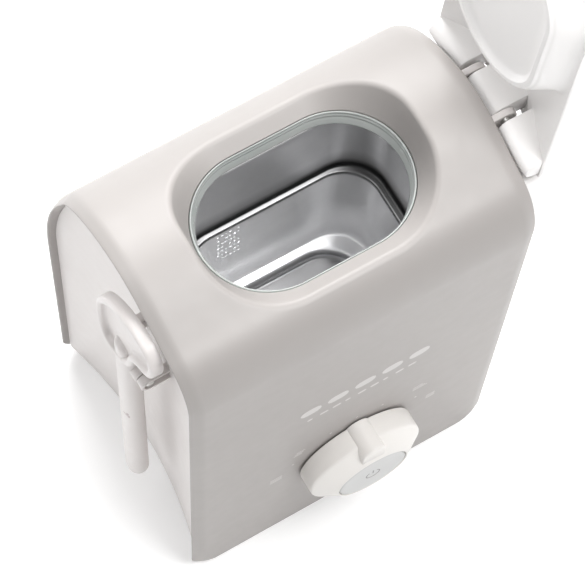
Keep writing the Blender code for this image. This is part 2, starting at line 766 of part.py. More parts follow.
def lid_band(low, high, edge):
    """A bar along X between two lifts above the crown, thinned to edge at its two sides."""
    count = 16
    top, under = [], []
    for i in range(count + 1):
        side = 2 * i / count - 1
        y = MOUTH_Y + LID_HALF * side
        top.append((y, crown_z(y) + high - (high - low - edge) * abs(side) ** 3))
        under.append((y, crown_z(y) + low))
    return prism(top + under[::-1], "X", LID_END_X - 2.0, LID_TAIL_X + 1.0)


def stand_open(obj):
    """Turns a piece drawn on the closed lid up to its open place about the hinge."""
    centre = Vector((HINGE_X, 0, HINGE_Z)) * MM
    turn = Matrix.Rotation(math.radians(LID_OPEN_DEG), 4, "Y")
    obj.data.transform(Matrix.Translation(centre) @ turn @ Matrix.Translation(-centre))
    return pivot_at(obj, (HINGE_X, MOUTH_Y, HINGE_Z))


def lid_cover(mat):
    """The lid's shell: a saddle over the crown with a hinge knuckle and a catch lip."""
    crown = crown_z(MOUTH_Y) + LID_RISE
    cover = add_object("lid_cover", lid_band(LID_RISE, LID_RISE + LID_CROWN, LID_EDGE), mat)
    lip = box((LID_END_X, MOUTH_Y - 15.0, LIP_FOOT_Z), (LEFT_REACH - 0.6, MOUTH_Y + 15.0, crown + 1.0))
    join(cover, add_object("lip", lip))
    keep_inside(cover, add_object("plan", prism(lid_outline(), "Z", 220.0, 290.0)))
    half = EAR_SPREAD - EAR_THICK / 2 - GAP
    knuckle = prism(circle(HINGE_X, HINGE_Z, KNUCKLE_R, 24), "Y", MOUTH_Y - half, MOUTH_Y + half)
    join(cover, add_object("knuckle", knuckle))
    web = box((HINGE_X - 3.5, MOUTH_Y - half, HINGE_Z + 1.0), (HINGE_X + 4.5, MOUTH_Y + half, crown + 3.0))
    join(cover, add_object("web", web))
    bore = prism(circle(HINGE_X, HINGE_Z, PIN_R + PIN_CLEAR, 24), "Y", 20.0, 75.0)
    cut(cover, add_object("bore", bore))
    return stand_open(cover)


def lid_liner(mat):
    """The dished plug that the lid presses into the gasket; its back follows the cover."""
    rings = [
        ring(42.2, 26.8, 99, BODY_TOP_Z + 2.0),
        ring(42.2, 26.8, 99, NECK_Z - 2.0),
        ring(41.2, 25.8, 99, NECK_Z - 3.0),
        ring(38.8, 23.4, 99, NECK_Z - 3.0),
        ring(37.8, 22.4, 99, NECK_Z - 0.5),
    ]
    liner = add_object("lid_liner", loft(rings), mat)
    low, high = LID_RISE - GAP, 2 * LID_CROWN
    cut(liner, add_object("cover", lid_band(low, high, high - low)))
    return stand_open(liner)


def lid_hinge_pin(mat):
    half = EAR_SPREAD + EAR_THICK / 2 + 1.0
    pin = prism(circle(HINGE_X, HINGE_Z, PIN_R, 24), "Y", MOUTH_Y - half, MOUTH_Y + half)
    return pivot_at(add_object("lid_hinge_pin", pin, mat), (HINGE_X, MOUTH_Y, HINGE_Z))


# ---------------------------------------------------------------- assembly


def main():
    for obj in list(bpy.data.objects):
        bpy.data.objects.remove(obj)

    shell_grey = material("shell_grey", (0.60, 0.57, 0.54), 0.45)
    off_white = material("off_white", (0.80, 0.77, 0.75), 0.42)
    lid_white = material("lid_white", (0.86, 0.84, 0.83), 0.38)
    disc_grey = material("disc_grey", (0.62, 0.62, 0.61), 0.40)
    steel = material("stainless", (0.62, 0.62, 0.64), 0.22, 1.0)
    zinc = material("zinc_screw", (0.60, 0.60, 0.60), 0.35, 1.0)
    aluminium = material("aluminium", (0.70, 0.70, 0.70), 0.40, 1.0)
    silicone = material("silicone", (0.55, 0.62, 0.58), 0.35, 0.0, 0.8)
    rubber = material("rubber", (0.09, 0.09, 0.09), 0.80)
    inner_black = material("switch_black", (0.03, 0.03, 0.03), 0.55)
    board_green = material("board_green", (0.05, 0.22, 0.10), 0.50)

    outer_shell(shell_grey)
    left_end_panel(off_white)
    right_end_panel(off_white)
    hinge_housing(off_white)
    base_plate(off_white)
    feet(rubber)
    for i, (x, y) in enumerate(BASE_SCREW_XY, 1):
        screw(f"base_screw_{i}", zinc, x, y, 0.9, 15.0)
    cord_gland(rubber)
    tank(steel)
    tank_gasket(silicone)
    tank_clamp(aluminium)
    clamp_low = FLANGE_Z - STEEL - GAP - CLAMP_THICK
    for i, (x, y) in enumerate(tank_screw_places(), 1):
        screw(f"tank_screw_{i}", zinc, x, y, clamp_low - 2.0, NECK_Z)
    heating_plate(aluminium)
    heating_element(steel)
    thermostat(inner_black)
    thermal_fuse(off_white)
    control_board(board_green)
    rotary_switch(inner_black)
    push_switch(inner_black)
    control_knob(off_white)
    power_button(disc_grey)
    latch_pin(zinc)
    latch_lever(off_white)
    lid_cover(lid_white)
    lid_liner(off_white)
    lid_hinge_pin(zinc)


main()
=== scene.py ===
import math

import bmesh
import bpy
from mathutils import Matrix, Vector


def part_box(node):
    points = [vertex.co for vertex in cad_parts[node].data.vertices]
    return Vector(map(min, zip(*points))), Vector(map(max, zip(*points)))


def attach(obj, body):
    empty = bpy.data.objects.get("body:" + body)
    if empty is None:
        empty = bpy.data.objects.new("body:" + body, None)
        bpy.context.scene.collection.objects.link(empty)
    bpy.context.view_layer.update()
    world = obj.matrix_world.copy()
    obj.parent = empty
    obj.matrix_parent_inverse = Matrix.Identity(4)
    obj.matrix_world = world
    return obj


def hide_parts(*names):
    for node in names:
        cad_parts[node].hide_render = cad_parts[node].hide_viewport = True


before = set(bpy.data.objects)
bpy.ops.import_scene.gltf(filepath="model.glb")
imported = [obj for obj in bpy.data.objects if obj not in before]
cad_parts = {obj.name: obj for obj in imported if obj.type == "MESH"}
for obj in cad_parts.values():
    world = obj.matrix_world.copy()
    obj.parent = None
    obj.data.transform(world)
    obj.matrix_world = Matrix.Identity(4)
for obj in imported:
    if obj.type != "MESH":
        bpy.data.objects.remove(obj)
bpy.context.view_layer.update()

# Design frame: millimetres from the body's front left bottom corner, X right, Y back, Z up.
FOOT_AT = Vector((30.0, 22.0, 0.0))
BODY_W = 150.0
BODY_H = 260.0
FLARE = 1.8
FOOT_Z = 2.5
WALL = 3.0
CORNER_R = 9.0

MOUTH = (76.0, 47.0)
RIM = (49.6, 36.8, 30.5)
NECK = (45.7, 29.6)
LIP = 2.1
NECK_Z = 241.5
COLLAR_Z = 238.5
FLANGE_Z = 233.0
LEDGE_Z = 183.0
BASIN_Z = 126.0
SUMP_Z = 121.0
STEEL = 1.2
CLAMP_Z = FLANGE_Z - STEEL - 0.3

KNOB = (78.0, 72.0)
KNOB_FACE = -3.6 * 72.0 / 222.0
LATCH_Y = 46.0
LATCH_Z = 174.0
HINGE = (158.0, 248.0)
EAR_SPREAD = 11.0
LID_OPEN = 94.0
LID_HALF = 36.5
BASE_SCREWS = [(26.0, 7.0), (124.0, 7.0), (26.0, 117.0), (124.0, 117.0)]
FEET = [(30.0, 22.0), (120.0, 22.0), (30.0, 102.0), (120.0, 102.0)]
TANK_SCREWS = [(32.0, 15.0), (32.0, 79.0), (120.0, 15.0), (120.0, 79.0)]
GLAND = (98.0, 22.0)
CAMERA_AT = (-159.495, -295.305, 1222.545)
CAMERA_LENS = 173.0

foot_lo, foot_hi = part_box("foot_1")
ORIGIN = (foot_lo + foot_hi) / 2 - FOOT_AT * 0.001
ORIGIN.z = 0.0


# ---------------------------------------------------------------- node materials


def new_material(name):
    mat = bpy.data.materials.new(name)
    mat.use_nodes = True
    tree = mat.node_tree
    shader = tree.nodes["Principled BSDF"]
    return mat, tree, shader


def coords(tree, scale=1.0):
    where = tree.nodes.new("ShaderNodeTexCoord")
    mapping = tree.nodes.new("ShaderNodeMapping")
    mapping.inputs["Scale"].default_value = (scale, scale, scale)
    tree.links.new(where.outputs["Object"], mapping.inputs["Vector"])
    return mapping.outputs["Vector"]


def noise(tree, vector, scale, detail=4.0, rough=0.5):
    node = tree.nodes.new("ShaderNodeTexNoise")
    node.inputs["Scale"].default_value = scale
    node.inputs["Detail"].default_value = detail
    node.inputs["Roughness"].default_value = rough
    tree.links.new(vector, node.inputs["Vector"])
    return node.outputs["Fac"]


def remap(tree, value, lo, hi, out_lo, out_hi):
    node = tree.nodes.new("ShaderNodeMapRange")
    node.inputs["From Min"].default_value = lo
    node.inputs["From Max"].default_value = hi
    node.inputs["To Min"].default_value = out_lo
    node.inputs["To Max"].default_value = out_hi
    tree.links.new(value, node.inputs["Value"])
    return node.outputs["Result"]


def two_tone(tree, fac, a, b):
    node = tree.nodes.new("ShaderNodeMix")
    node.data_type = "RGBA"
    node.inputs[6].default_value = (*a, 1.0)
    node.inputs[7].default_value = (*b, 1.0)
    tree.links.new(fac, node.inputs[0])
    return node.outputs[2]


def bump(tree, shader, height, strength, distance):
    node = tree.nodes.new("ShaderNodeBump")
    node.inputs["Strength"].default_value = strength
    node.inputs["Distance"].default_value = distance
    tree.links.new(height, node.inputs["Height"])
    tree.links.new(node.outputs["Normal"], shader.inputs["Normal"])


def plastic(name, colour, shade=0.93, rough=(0.40, 0.48), grain=2600.0, strength=0.10, coat=0.0):
    """A moulded plastic: fine spark-eroded grain, soft mottling in tone and in gloss."""
    mat, tree, shader = new_material(name)
    at = coords(tree)
    cloud = noise(tree, at, 22.0, 3.0)
    tone = remap(tree, cloud, 0.3, 0.7, 0.0, 1.0)
    darker = tuple(c * shade for c in colour)
    tree.links.new(two_tone(tree, tone, colour, darker), shader.inputs["Base Color"])
    gloss = noise(tree, at, 140.0, 3.0)
    tree.links.new(remap(tree, gloss, 0.3, 0.7, *rough), shader.inputs["Roughness"])
    bump(tree, shader, noise(tree, at, grain, 2.0), strength, 0.00004)
    shader.inputs["IOR"].default_value = 1.48
    shader.inputs["Coat Weight"].default_value = coat
    shader.inputs["Coat Roughness"].default_value = 0.25
    return mat


def steel(name, colour=(0.60, 0.60, 0.615), rough=(0.24, 0.36), along="Z", strength=0.03):
    """Drawn stainless: faint draw lines, cloudy patches and small scuffs."""
    mat, tree, shader = new_material(name)
    at = coords(tree)
    stretch = tree.nodes.new("ShaderNodeMapping")
    lines = {"Z": (60.0, 60.0, 900.0), "X": (900.0, 60.0, 60.0)}[along]
    stretch.inputs["Scale"].default_value = lines
    tree.links.new(at, stretch.inputs["Vector"])
    drawn = noise(tree, stretch.outputs["Vector"], 1.0, 5.0)
    cloud = noise(tree, at, 55.0, 5.0, 0.62)
    shader.inputs["Metallic"].default_value = 1.0
    darker = tuple(c * 0.94 for c in colour)
    patches = remap(tree, cloud, 0.35, 0.68, 0.0, 1.0)
    tree.links.new(two_tone(tree, patches, colour, darker), shader.inputs["Base Color"])
    tree.links.new(remap(tree, cloud, 0.3, 0.7, *rough), shader.inputs["Roughness"])
    bump(tree, shader, drawn, strength, 0.00003)
    return mat


def ramp(tree, value, stops):
    """A ramp of greys over a value between 0 and 1."""
    node = tree.nodes.new("ShaderNodeValToRGB")
    points = node.color_ramp.elements
    while len(points) < len(stops):
        points.new(0.5)
    for point, (at, grey) in zip(points, stops):
        point.position = at
        point.color = (grey, grey, grey, 1.0)
    tree.links.new(value, node.inputs["Fac"])
    return node.outputs["Color"]


def tank_steel(name):
    """The tank's stainless: satin walls, a painted dark reflection band with a thin painted highlight line at
    the ledge, and painted shade on the sump floor.
    """
    mat = steel(name, (0.97, 0.97, 0.98), (0.28, 0.33), strength=0.005)
    tree = mat.node_tree
    shader = tree.nodes["Principled BSDF"]
    plain = shader.inputs["Base Color"].links[0].from_socket
    split = tree.nodes.new("ShaderNodeSeparateXYZ")
    where = tree.nodes.new("ShaderNodeTexCoord")
    tree.links.new(where.outputs["Object"], split.inputs["Vector"])
    height = remap(tree, split.outputs["Z"], 0.120, 0.200, 0.0, 1.0)

    def at(z):
        return (z - 120.0) / 80.0

    # Painted reflection at the ledge: a dark band on the ledge flat and just above it, with a thin painted
    # highlight line at the inner rounding; the walls above z 198 stay a quarter darker.
    painted_ledge_band = [(at(181.0), 0.95), (at(182.0), 0.30), (at(182.62), 0.12), (at(182.70), 0.6), (at(182.76), 0.6)]
    painted_ledge_band += [(at(182.83), 0.08), (at(185.6), 0.05), (at(190.0), 0.5), (at(198.0), 0.75)]
    # Painted shade: the sump floor below z 122 is multiplied down to about a sixth of the wall colour.
    tone = ramp(tree, height, [(0.0, 0.16), (at(121.3), 0.19), (at(122.2), 1.0)] + painted_ledge_band)
    satin = [(0.0, 0.95), (at(123.0), 0.9), (at(125.0), 0.5)]
    satin += [(at(180.0), 0.5), (at(182.5), 1.0), (at(188.0), 0.8)]
    tree.links.new(ramp(tree, height, satin), shader.inputs["Metallic"])
    # Multiplies the steel's colour by the ramp of painted shade, painted reflection and painted highlight.
    painted_shade_multiply = tree.nodes.new("ShaderNodeMix")
    painted_shade_multiply.data_type = "RGBA"
    painted_shade_multiply.blend_type = "MULTIPLY"
    painted_shade_multiply.inputs[0].default_value = 1.0
    tree.links.new(plain, painted_shade_multiply.inputs[6])
    tree.links.new(tone, painted_shade_multiply.inputs[7])
    tree.links.new(painted_shade_multiply.outputs[2], shader.inputs["Base Color"])
    return mat


def rubbery(name, colour, rough=(0.55, 0.75)):
    mat, tree, shader = new_material(name)
    at = coords(tree)
    tone = remap(tree, noise(tree, at, 90.0, 3.0), 0.3, 0.7, 0.0, 1.0)
    tree.links.new(two_tone(tree, tone, colour, tuple(c * 0.75 for c in colour)), shader.inputs["Base Color"])
    tree.links.new(remap(tree, noise(tree, at, 300.0), 0.3, 0.7, *rough), shader.inputs["Roughness"])
    bump(tree, shader, noise(tree, at, 3000.0, 2.0), 0.25, 0.00006)
    return mat


def silicone_ring(name):
    """Greenish grey silicone that lets some light through."""
    mat, tree, shader = new_material(name)
    at = coords(tree)
    tone = remap(tree, noise(tree, at, 70.0, 3.0), 0.3, 0.7, 0.0, 1.0)
    colour = two_tone(tree, tone, (0.47, 0.492, 0.478), (0.43, 0.455, 0.443))
    tree.links.new(colour, shader.inputs["Base Color"])
    tree.links.new(remap(tree, noise(tree, at, 200.0), 0.3, 0.7, 0.20, 0.28), shader.inputs["Roughness"])
    bump(tree, shader, noise(tree, at, 500.0, 2.0), 0.03, 0.00003)
    shader.inputs["IOR"].default_value = 1.41
    shader.inputs["Subsurface Weight"].default_value = 0.35
    shader.inputs["Subsurface Radius"].default_value = (0.004, 0.005, 0.0045)
    shader.inputs["Subsurface Scale"].default_value = 0.6
    shader.inputs["Coat Weight"].default_value = 0.4
    shader.inputs["Coat Roughness"].default_value = 0.12
    return mat


def green_board(name):
    mat, tree, shader = new_material(name)
    at = coords(tree)
    tone = remap(tree, noise(tree, at, 260.0, 2.0), 0.45, 0.55, 0.0, 1.0)
    tree.links.new(two_tone(tree, tone, (0.03, 0.16, 0.07), (0.05, 0.24, 0.10)), shader.inputs["Base Color"])
    shader.inputs["Roughness"].default_value = 0.35
    return mat


M = {
    "shell_grey": plastic("shell_grey", (0.392, 0.369, 0.356), 0.975, (0.44, 0.50)),
    "off_white": plastic("off_white", (0.73, 0.695, 0.68), 0.98, (0.34, 0.42)),
    "knob_white": plastic("knob_white", (0.80, 0.775, 0.745), 0.98, (0.34, 0.42)),
    "lid_white": plastic("lid_white", (0.93, 0.915, 0.905), 0.99, (0.30, 0.38)),
    "disc_grey": plastic("disc_grey", (0.60, 0.60, 0.595), 0.97, (0.34, 0.42)),
    "print_pale": plastic("print_pale", (0.62, 0.60, 0.585), 0.97, (0.45, 0.55)),
    "mark_grey": plastic("mark_grey", (0.30, 0.29, 0.29), 0.95, (0.45, 0.55)),
    "mark_rose": plastic("mark_rose", (0.56, 0.49, 0.49), 0.95, (0.45, 0.55)),
    "stainless": tank_steel("tank_steel"),
    "zinc_screw": steel("zinc_screw", (0.62, 0.62, 0.60), (0.26, 0.40)),
    "aluminium": steel("aluminium", (0.68, 0.68, 0.69), (0.30, 0.45)),
    "silicone": silicone_ring("silicone"),
    "rubber": rubbery("rubber", (0.055, 0.055, 0.055)),
    "switch_black": rubbery("switch_black", (0.03, 0.03, 0.03), (0.35, 0.5)),
    "board_green": green_board("board_green"),
}


# ---------------------------------------------------------------- mesh helpers


def piece(name, bm, mat, body, replaces=(), angle=40.0, turn=None):
    """Turns a bmesh in design millimetres into a piece that rides on a body."""
    if turn:
        bmesh.ops.transform(bm, matrix=turn, verts=bm.verts)
    bmesh.ops.recalc_face_normals(bm, faces=bm.faces)
    mesh = bpy.data.meshes.new(name)
    bm.to_mesh(mesh)
    bm.free()
    mesh.transform(Matrix.Translation(ORIGIN) @ Matrix.Scale(0.001, 4))
    obj = bpy.data.objects.new(name, mesh)
    bpy.context.scene.collection.objects.link(obj)
    mesh.materials.append(M[mat])
    mesh.shade_smooth()
    mesh.set_sharp_from_angle(angle=math.radians(angle))
    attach(obj, body)
    if replaces:
        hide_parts(*replaces)
    return obj


def stadium(hx, hy, r, count=12):
    r = min(r, hx, hy)
    points = []
    for k, (sx, sy) in enumerate([(1, 1), (-1, 1), (-1, -1), (1, -1)]):
        for i in range(count + 1):
            a = math.radians(90 * (k + i / count))
            points.append((sx * (hx - r) + r * math.cos(a), sy * (hy - r) + r * math.sin(a)))
    return points


def ring(hx, hy, r, z, centre=MOUTH, count=12):
    return [(centre[0] + x, centre[1] + y, z) for x, y in stadium(hx, hy, r, count)]


def skin(bm, rings, wrap=True, closed=False, caps=(True, True)):
    """Adds a loft through equal rings to bm."""
    rows = [[bm.verts.new(p) for p in r] for r in rings]
    pairs = list(zip(rows, rows[1:]))
    if closed:
        pairs.append((rows[-1], rows[0]))
    n = len(rows[0])
    for a, b in pairs:
        for i in range(n if wrap else n - 1):
            j = (i + 1) % n
            bm.faces.new((a[i], a[j], b[j], b[i]))
    if not closed and wrap:
        for row, wanted in ((rows[0], caps[0]), (rows[-1], caps[1])):
            if wanted:
                bm.faces.new(row)
    return rows


def loft(rings, **how):
    bm = bmesh.new()
    skin(bm, rings, **how)
    return bm


def circle(cu, cv, r, count=48):
    turn = [2 * math.pi * i / count for i in range(count)]
    return [(cu + r * math.cos(a), cv + r * math.sin(a)) for a in turn]


def lathe_y(bm, profile, x, y, z, count=128, **how):
    """Rings round a line along -Y: profile is (radius, height towards the front)."""
    rings = [[(x + r * u, y - h, z + r * v) for u, v in circle(0, 0, 1, count)] for r, h in profile]
    return skin(bm, rings, **how)


def prism(bm, outline, axis, lo, hi, edge=0.0):
    """A solid bar along an axis with small rounded edges at both ends."""
    place = {
        "X": lambda u, v, w: (w, u, v),
        "Y": lambda u, v, w: (u, w, v),
        "Z": lambda u, v, w: (u, v, w),
    }[axis]
    steps = [(0.0, lo), (0.0, hi)]
    if edge:
        turns = (0, math.pi / 4, math.pi / 2)
        steps = [(edge * (1 - math.sin(a)), lo + edge * (1 - math.cos(a))) for a in turns]
        steps += [(d, hi - (w - lo)) for d, w in steps[::-1]]
    rings = []
    for d, w in steps:
        path = inset(outline, d, True) if d else outline
        rings.append([place(u, v, w) for u, v in path])
    return skin(bm, rings)


def inset(points, d, closed=False):
    """Moves a path sideways by d; to the inside of a clockwise outline or the right of a path."""
    out = []
    n = len(points)
    for i, p in enumerate(points):
        p = Vector(p)
        a = Vector(points[i - 1]) if i or closed else None
        b = Vector(points[(i + 1) % n]) if i < n - 1 or closed else None
        into = (p - a).normalized() if a is not None else (b - p).normalized()
        away = (b - p).normalized() if b is not None else into
        mid = (into + away).normalized()
        normal = Vector((mid.y, -mid.x))
        reach = max(0.5, normal.dot(Vector((into.y, -into.x))))
        out.append(tuple(p + normal * d / reach))
    return out


def bezier(a, b, c, d, steps):
    points = []
    for i in range(steps):
        t = i / steps
        s = 1 - t
        w = (s**3, 3 * s * s * t, 3 * s * t * t, t**3)
        points.append(tuple(w[0] * a[k] + w[1] * b[k] + w[2] * c[k] + w[3] * d[k] for k in (0, 1)))
    return points


def saddle(steps):
    """The upper part of the body's section: shoulder, crown and back, as (y, z)."""
    points = bezier((-3.6, 222.0), (-3.6, 235.0), (2.0, 245.0), (12.0, 248.5), steps)
    points += bezier((12.0, 248.5), (22.0, 252.0), (34.0, 259.0), (46.0, 260.0), steps)
    points += bezier((46.0, 260.0), (60.0, 261.0), (85.0, 251.5), (98.0, 229.5), steps)
    points += bezier((98.0, 229.5), (101.3, 220.0), (120.2, 184.0), (122.0, 140.0), steps)
    return points + [(122.0, 140.0)]


def front_line(z):
    return (-3.6 * z / 222.0, z)


def back_line(z):
    return (124.0 - 2.0 * (z - FOOT_Z) / (140.0 - FOOT_Z), z)


CROWN = [p for p in saddle(160) if p[1] > 200.0]


def crown_z(y):
    """Height of the outer skin over a y of its upper side."""
    lo, hi = 0, len(CROWN) - 1
    while hi - lo > 1:
        mid = (lo + hi) // 2
        if CROWN[mid][0] <= y:
            lo = mid
        else:
            hi = mid
    (y0, z0), (y1, z1) = CROWN[lo], CROWN[hi]
    return z0 + (z1 - z0) * min(1.0, max(0.0, (y - y0) / (y1 - y0)))


def flare(p):
    """The moulding draft: the ends stand wider towards the top."""
    mid = BODY_W / 2
    return Vector((mid + (p[0] - mid) * (1 + FLARE * p[2] / (BODY_H * mid)), p[1], p[2]))


def panel_x(y):
    return 3.0 + 8.9 * (1 - ((y - 62.0) / 59.0) ** 2)


# ---------------------------------------------------------------- shell


def corner_shift(z):
    """How far the end edge steps in where the body's lower corners are rounded."""
    rise = z - FOOT_Z
    if rise >= CORNER_R:
        return 0.0
    return CORNER_R - math.sqrt(max(0.0, CORNER_R**2 - (CORNER_R - max(0.0, rise)) ** 2))


def band_columns():
    """Across one end: (distance from the end plane, inset from the outer skin)."""
    cols = [(14.0, 3.0), (6.0, 3.0), (1.0, 3.0), (0.45, 2.92), (0.15, 2.72)]
    cols += [(0.0, 2.5), (0.08, 2.3), (0.3, 2.13)]
    slope = math.tan(math.radians(25.0))
    for x in (0.8, 1.4, 2.2, 3.0, 3.6, 4.2, 4.8, 5.4, 6.0):
        if x < 3.0:
            d = slope * (3.0 - x) + slope * 1.65
        else:
            d = slope * (6.3 - x) ** 2 / 6.6
        cols.append((x, d))
    return cols


def shell_rows():
    """Down the section: (y, z, inset), from the inner foot up the front and down the back."""
    foot = [(12.0, 3.0), (4.0, 3.0), (2.9, 2.9), (2.6, 2.6), (2.5, 2.2)]
    foot += [(2.5, 0.9), (2.6, 0.45), (2.85, 0.15), (3.3, 0.0)]
    low = [FOOT_Z + CORNER_R * (1 - math.cos(math.radians(a))) for a in (32, 44, 56, 68, 80, 90)]
    rise = [20 + 14.4 * i for i in range(14)]
    rows = [(*front_line(z), d) for z, d in foot]
    rows += [(*front_line(z), 0.0) for z in low + rise]
    rows += [(y, z, 0.0) for y, z in saddle(22)]
    rows += [(*back_line(z), 0.0) for z in [128, 115, 100, 80, 60, 40, 24] + low[::-1]]
    rows += [(*back_line(z), d) for z, d in foot[::-1]]
    return rows


def body_shell():
    bm = bmesh.new()
    rows = shell_rows()
    band = band_columns()
    middle = [8.0 + 134.0 * i / 60 for i in range(61)]
    cols = band + [(x, 0.0) for x in middle] + [(BODY_W - x, d) for x, d in band[::-1]]
    path = [(y, z) for y, z, _ in rows]
    normals = []
    for i in range(len(rows)):
        a, b = Vector(path[max(0, i - 1)]), Vector(path[min(len(path) - 1, i + 1)])
        if (b - a).length < 1e-6 or rows[i][2] > 0 or i < 9 or i > len(rows) - 10:
            normals.append(Vector((1, 0)) if i < len(rows) / 2 else Vector((-1, 0)))
        else:
            along = (b - a).normalized()
            normals.append(Vector((along.y, -along.x)))
    grid = []
    for (y, z, row_in), normal in zip(rows, normals):
        line = []
        shift = corner_shift(z)
        for x, col_in in cols:
            d = max(row_in, col_in)
            side = shift * (1 - x / (BODY_W / 2))
            line.append(bm.verts.new(flare((x + side, y + normal.x * d, z + normal.y * d))))
        grid.append(line)
    lo_c = min(i for i, (x, _) in enumerate(cols) if x > 17.0)
    hi_c = max(i for i, (x, _) in enumerate(cols) if x < 135.0)
    lo_r = min(i for i, (y, z, _) in enumerate(rows) if z > 200 and y > 2.5)
    hi_r = max(i for i, (y, z, _) in enumerate(rows) if z > 200 and y < 92.0)
    for r in range(len(rows) - 1):
        for c in range(len(cols) - 1):
            if lo_r <= r < hi_r and lo_c <= c < hi_c:
                continue
            bm.faces.new((grid[r][c], grid[r][c + 1], grid[r + 1][c + 1], grid[r + 1][c]))
    edge = [grid[lo_r][c] for c in range(lo_c, hi_c)] + [grid[r][hi_c] for r in range(lo_r, hi_r)]
    edge += [grid[hi_r][c] for c in range(hi_c, lo_c, -1)] + [grid[r][lo_c] for r in range(hi_r, lo_r, -1)]
    mouth_patch(bm, edge)
    return piece("body_shell", bm, "shell_grey", "body", ["outer_shell"])


def round_hit(dx, dy, hx, hy, r):
    """Where a ray from the centre meets a rounded rectangle, and the outward normal there."""
    r = min(r, hx, hy)
    ax, ay = abs(dx), abs(dy)
    cx, cy = hx - r, hy - r
    sx, sy = math.copysign(1.0, dx), math.copysign(1.0, dy)
    if ay > 1e-9 and ax * hy / ay <= cx:
        return Vector((dx * hy / ay, sy * hy)), Vector((0.0, sy))
    if ax > 1e-9 and ay * hx / ax <= cy:
        return Vector((sx * hx, dy * hx / ax)), Vector((sx, 0.0))
    a, b, c = ax * ax + ay * ay, -2 * (ax * cx + ay * cy), cx * cx + cy * cy - r * r
    k = (-b + math.sqrt(max(0.0, b * b - 4 * a * c))) / (2 * a)
    hit = Vector((dx * k, dy * k))
    return hit, (hit - Vector((sx * cx, sy * cy))).normalized()


def on_crown(p):
    return Vector((MOUTH[0] + p.x, MOUTH[1] + p.y, crown_z(MOUTH[1] + p.y)))


def mouth_patch(bm, edge):
    """Fills the skin round the mouth, rolls over the rim and goes down the funnel."""
    spread = [1.0, 0.93, 0.85, 0.76, 0.66, 0.56, 0.46, 0.36, 0.27, 0.19, 0.12, 0.06, 0.0]
    outer = [Vector((v.co.x - MOUTH[0], v.co.y - MOUTH[1])) for v in edge]
    start = [round_hit(p.x, p.y, RIM[0] + LIP, RIM[1] + LIP, RIM[2] + LIP)[0] for p in outer]
    corner = [round_hit(p.x, p.y, *RIM)[0] for p in outer]
    neck = [round_hit(p.x, p.y, *NECK, 99) for p in outer]
    lines = [[on_crown(s.lerp(o, t)) for s, o in zip(start, outer)] for t in spread[1:]]
    for k in range(1, 9):
        lines.append([lip_point(s, c, n, k / 8) for s, c, (n, _) in zip(start, corner, neck)])
    low = [Vector((MOUTH[0] + n.x, MOUTH[1] + n.y, NECK_Z)) for n, _ in neck]
    lip = lines[-1]
    for share in (0.33, 0.66):
        lines.append([a.lerp(b, share) for a, b in zip(lip, low)])
    for short in (0.45, 0.0):
        lines.append([b + (a - b).normalized() * 1.2 * short for a, b in zip(lines[-1], low)])
    for grow, z in ((0.0, NECK_Z - 0.9), (0.0, COLLAR_Z), (3.4, COLLAR_Z)):
        line = []
        for n, m in neck:
            p = n + m * grow
            line.append(Vector((MOUTH[0] + p.x, MOUTH[1] + p.y, z)))
        lines.append(line)
    rows = [edge] + [[bm.verts.new(p) for p in line] for line in lines]
    count = len(edge)
    for a, b in zip(rows, rows[1:]):
        for i in range(count):
            j = (i + 1) % count
            bm.faces.new((a[i], a[j], b[j], b[i]))


def lip_point(start, corner, neck, t):
    """A point of the rounded rim: on the crown at t=0, on the funnel's wall at t=1."""
    a, b = on_crown(start), on_crown(corner)
    wall = Vector((MOUTH[0] + neck.x, MOUTH[1] + neck.y, NECK_Z)) - b
    c = b + wall.normalized() * min(LIP, wall.length * 0.6)
    s = 1 - t
    return a * (s * s) + b * (2 * s * t) + c * (t * t)


# ---------------------------------------------------------------- panels and base


def boolean(obj, other, operation):
    mod = obj.modifiers.new("cut", "BOOLEAN")
    mod.solver = "EXACT"
    mod.operation = operation
    mod.object = other
    bpy.context.view_layer.update()
    graph = bpy.context.evaluated_depsgraph_get()
    mesh = bpy.data.meshes.new_from_object(obj.evaluated_get(graph))
    obj.modifiers.remove(mod)
    obj.data = mesh
    bpy.data.objects.remove(other)


def raw(bm):
    """A plain tool object in design millimetres, for a Boolean."""
    bmesh.ops.recalc_face_normals(bm, faces=bm.faces)
    mesh = bpy.data.meshes.new("tool")
    bm.to_mesh(mesh)
    bm.free()
    obj = bpy.data.objects.new("tool", mesh)
    bpy.context.scene.collection.objects.link(obj)
    return obj


def section(offset, foot_z):
    path = [front_line(foot_z)] + saddle(22) + [back_line(foot_z)]
    return inset(path, offset)


def hollow_panel(side):
    """One hollowed end panel as a bmesh."""
    ys = [-4.0 + 135.0 * i / 60 for i in range(61)]
    outline = [(panel_x(y), y) for y in ys] + [(panel_x(y) + 2.5, y) for y in ys[::-1]]
    bm = bmesh.new()
    zs = [5.8 + 262.2 * i / 30 for i in range(31)]
    skin(bm, [[(x, y, z) for x, y in outline] for z in zs])
    panel = raw(bm)
    bm = bmesh.new()
    prism(bm, section(WALL + 0.15, 0.0), "X", -5.0, 30.0)
    boolean(panel, raw(bm), "INTERSECT")
    out = bmesh.new()
    out.from_mesh(panel.data)
    bpy.data.objects.remove(panel)
    for v in out.verts:
        x = v.co.x if side < 0 else BODY_W - v.co.x
        v.co = flare((x, v.co.y, v.co.z))
    return out


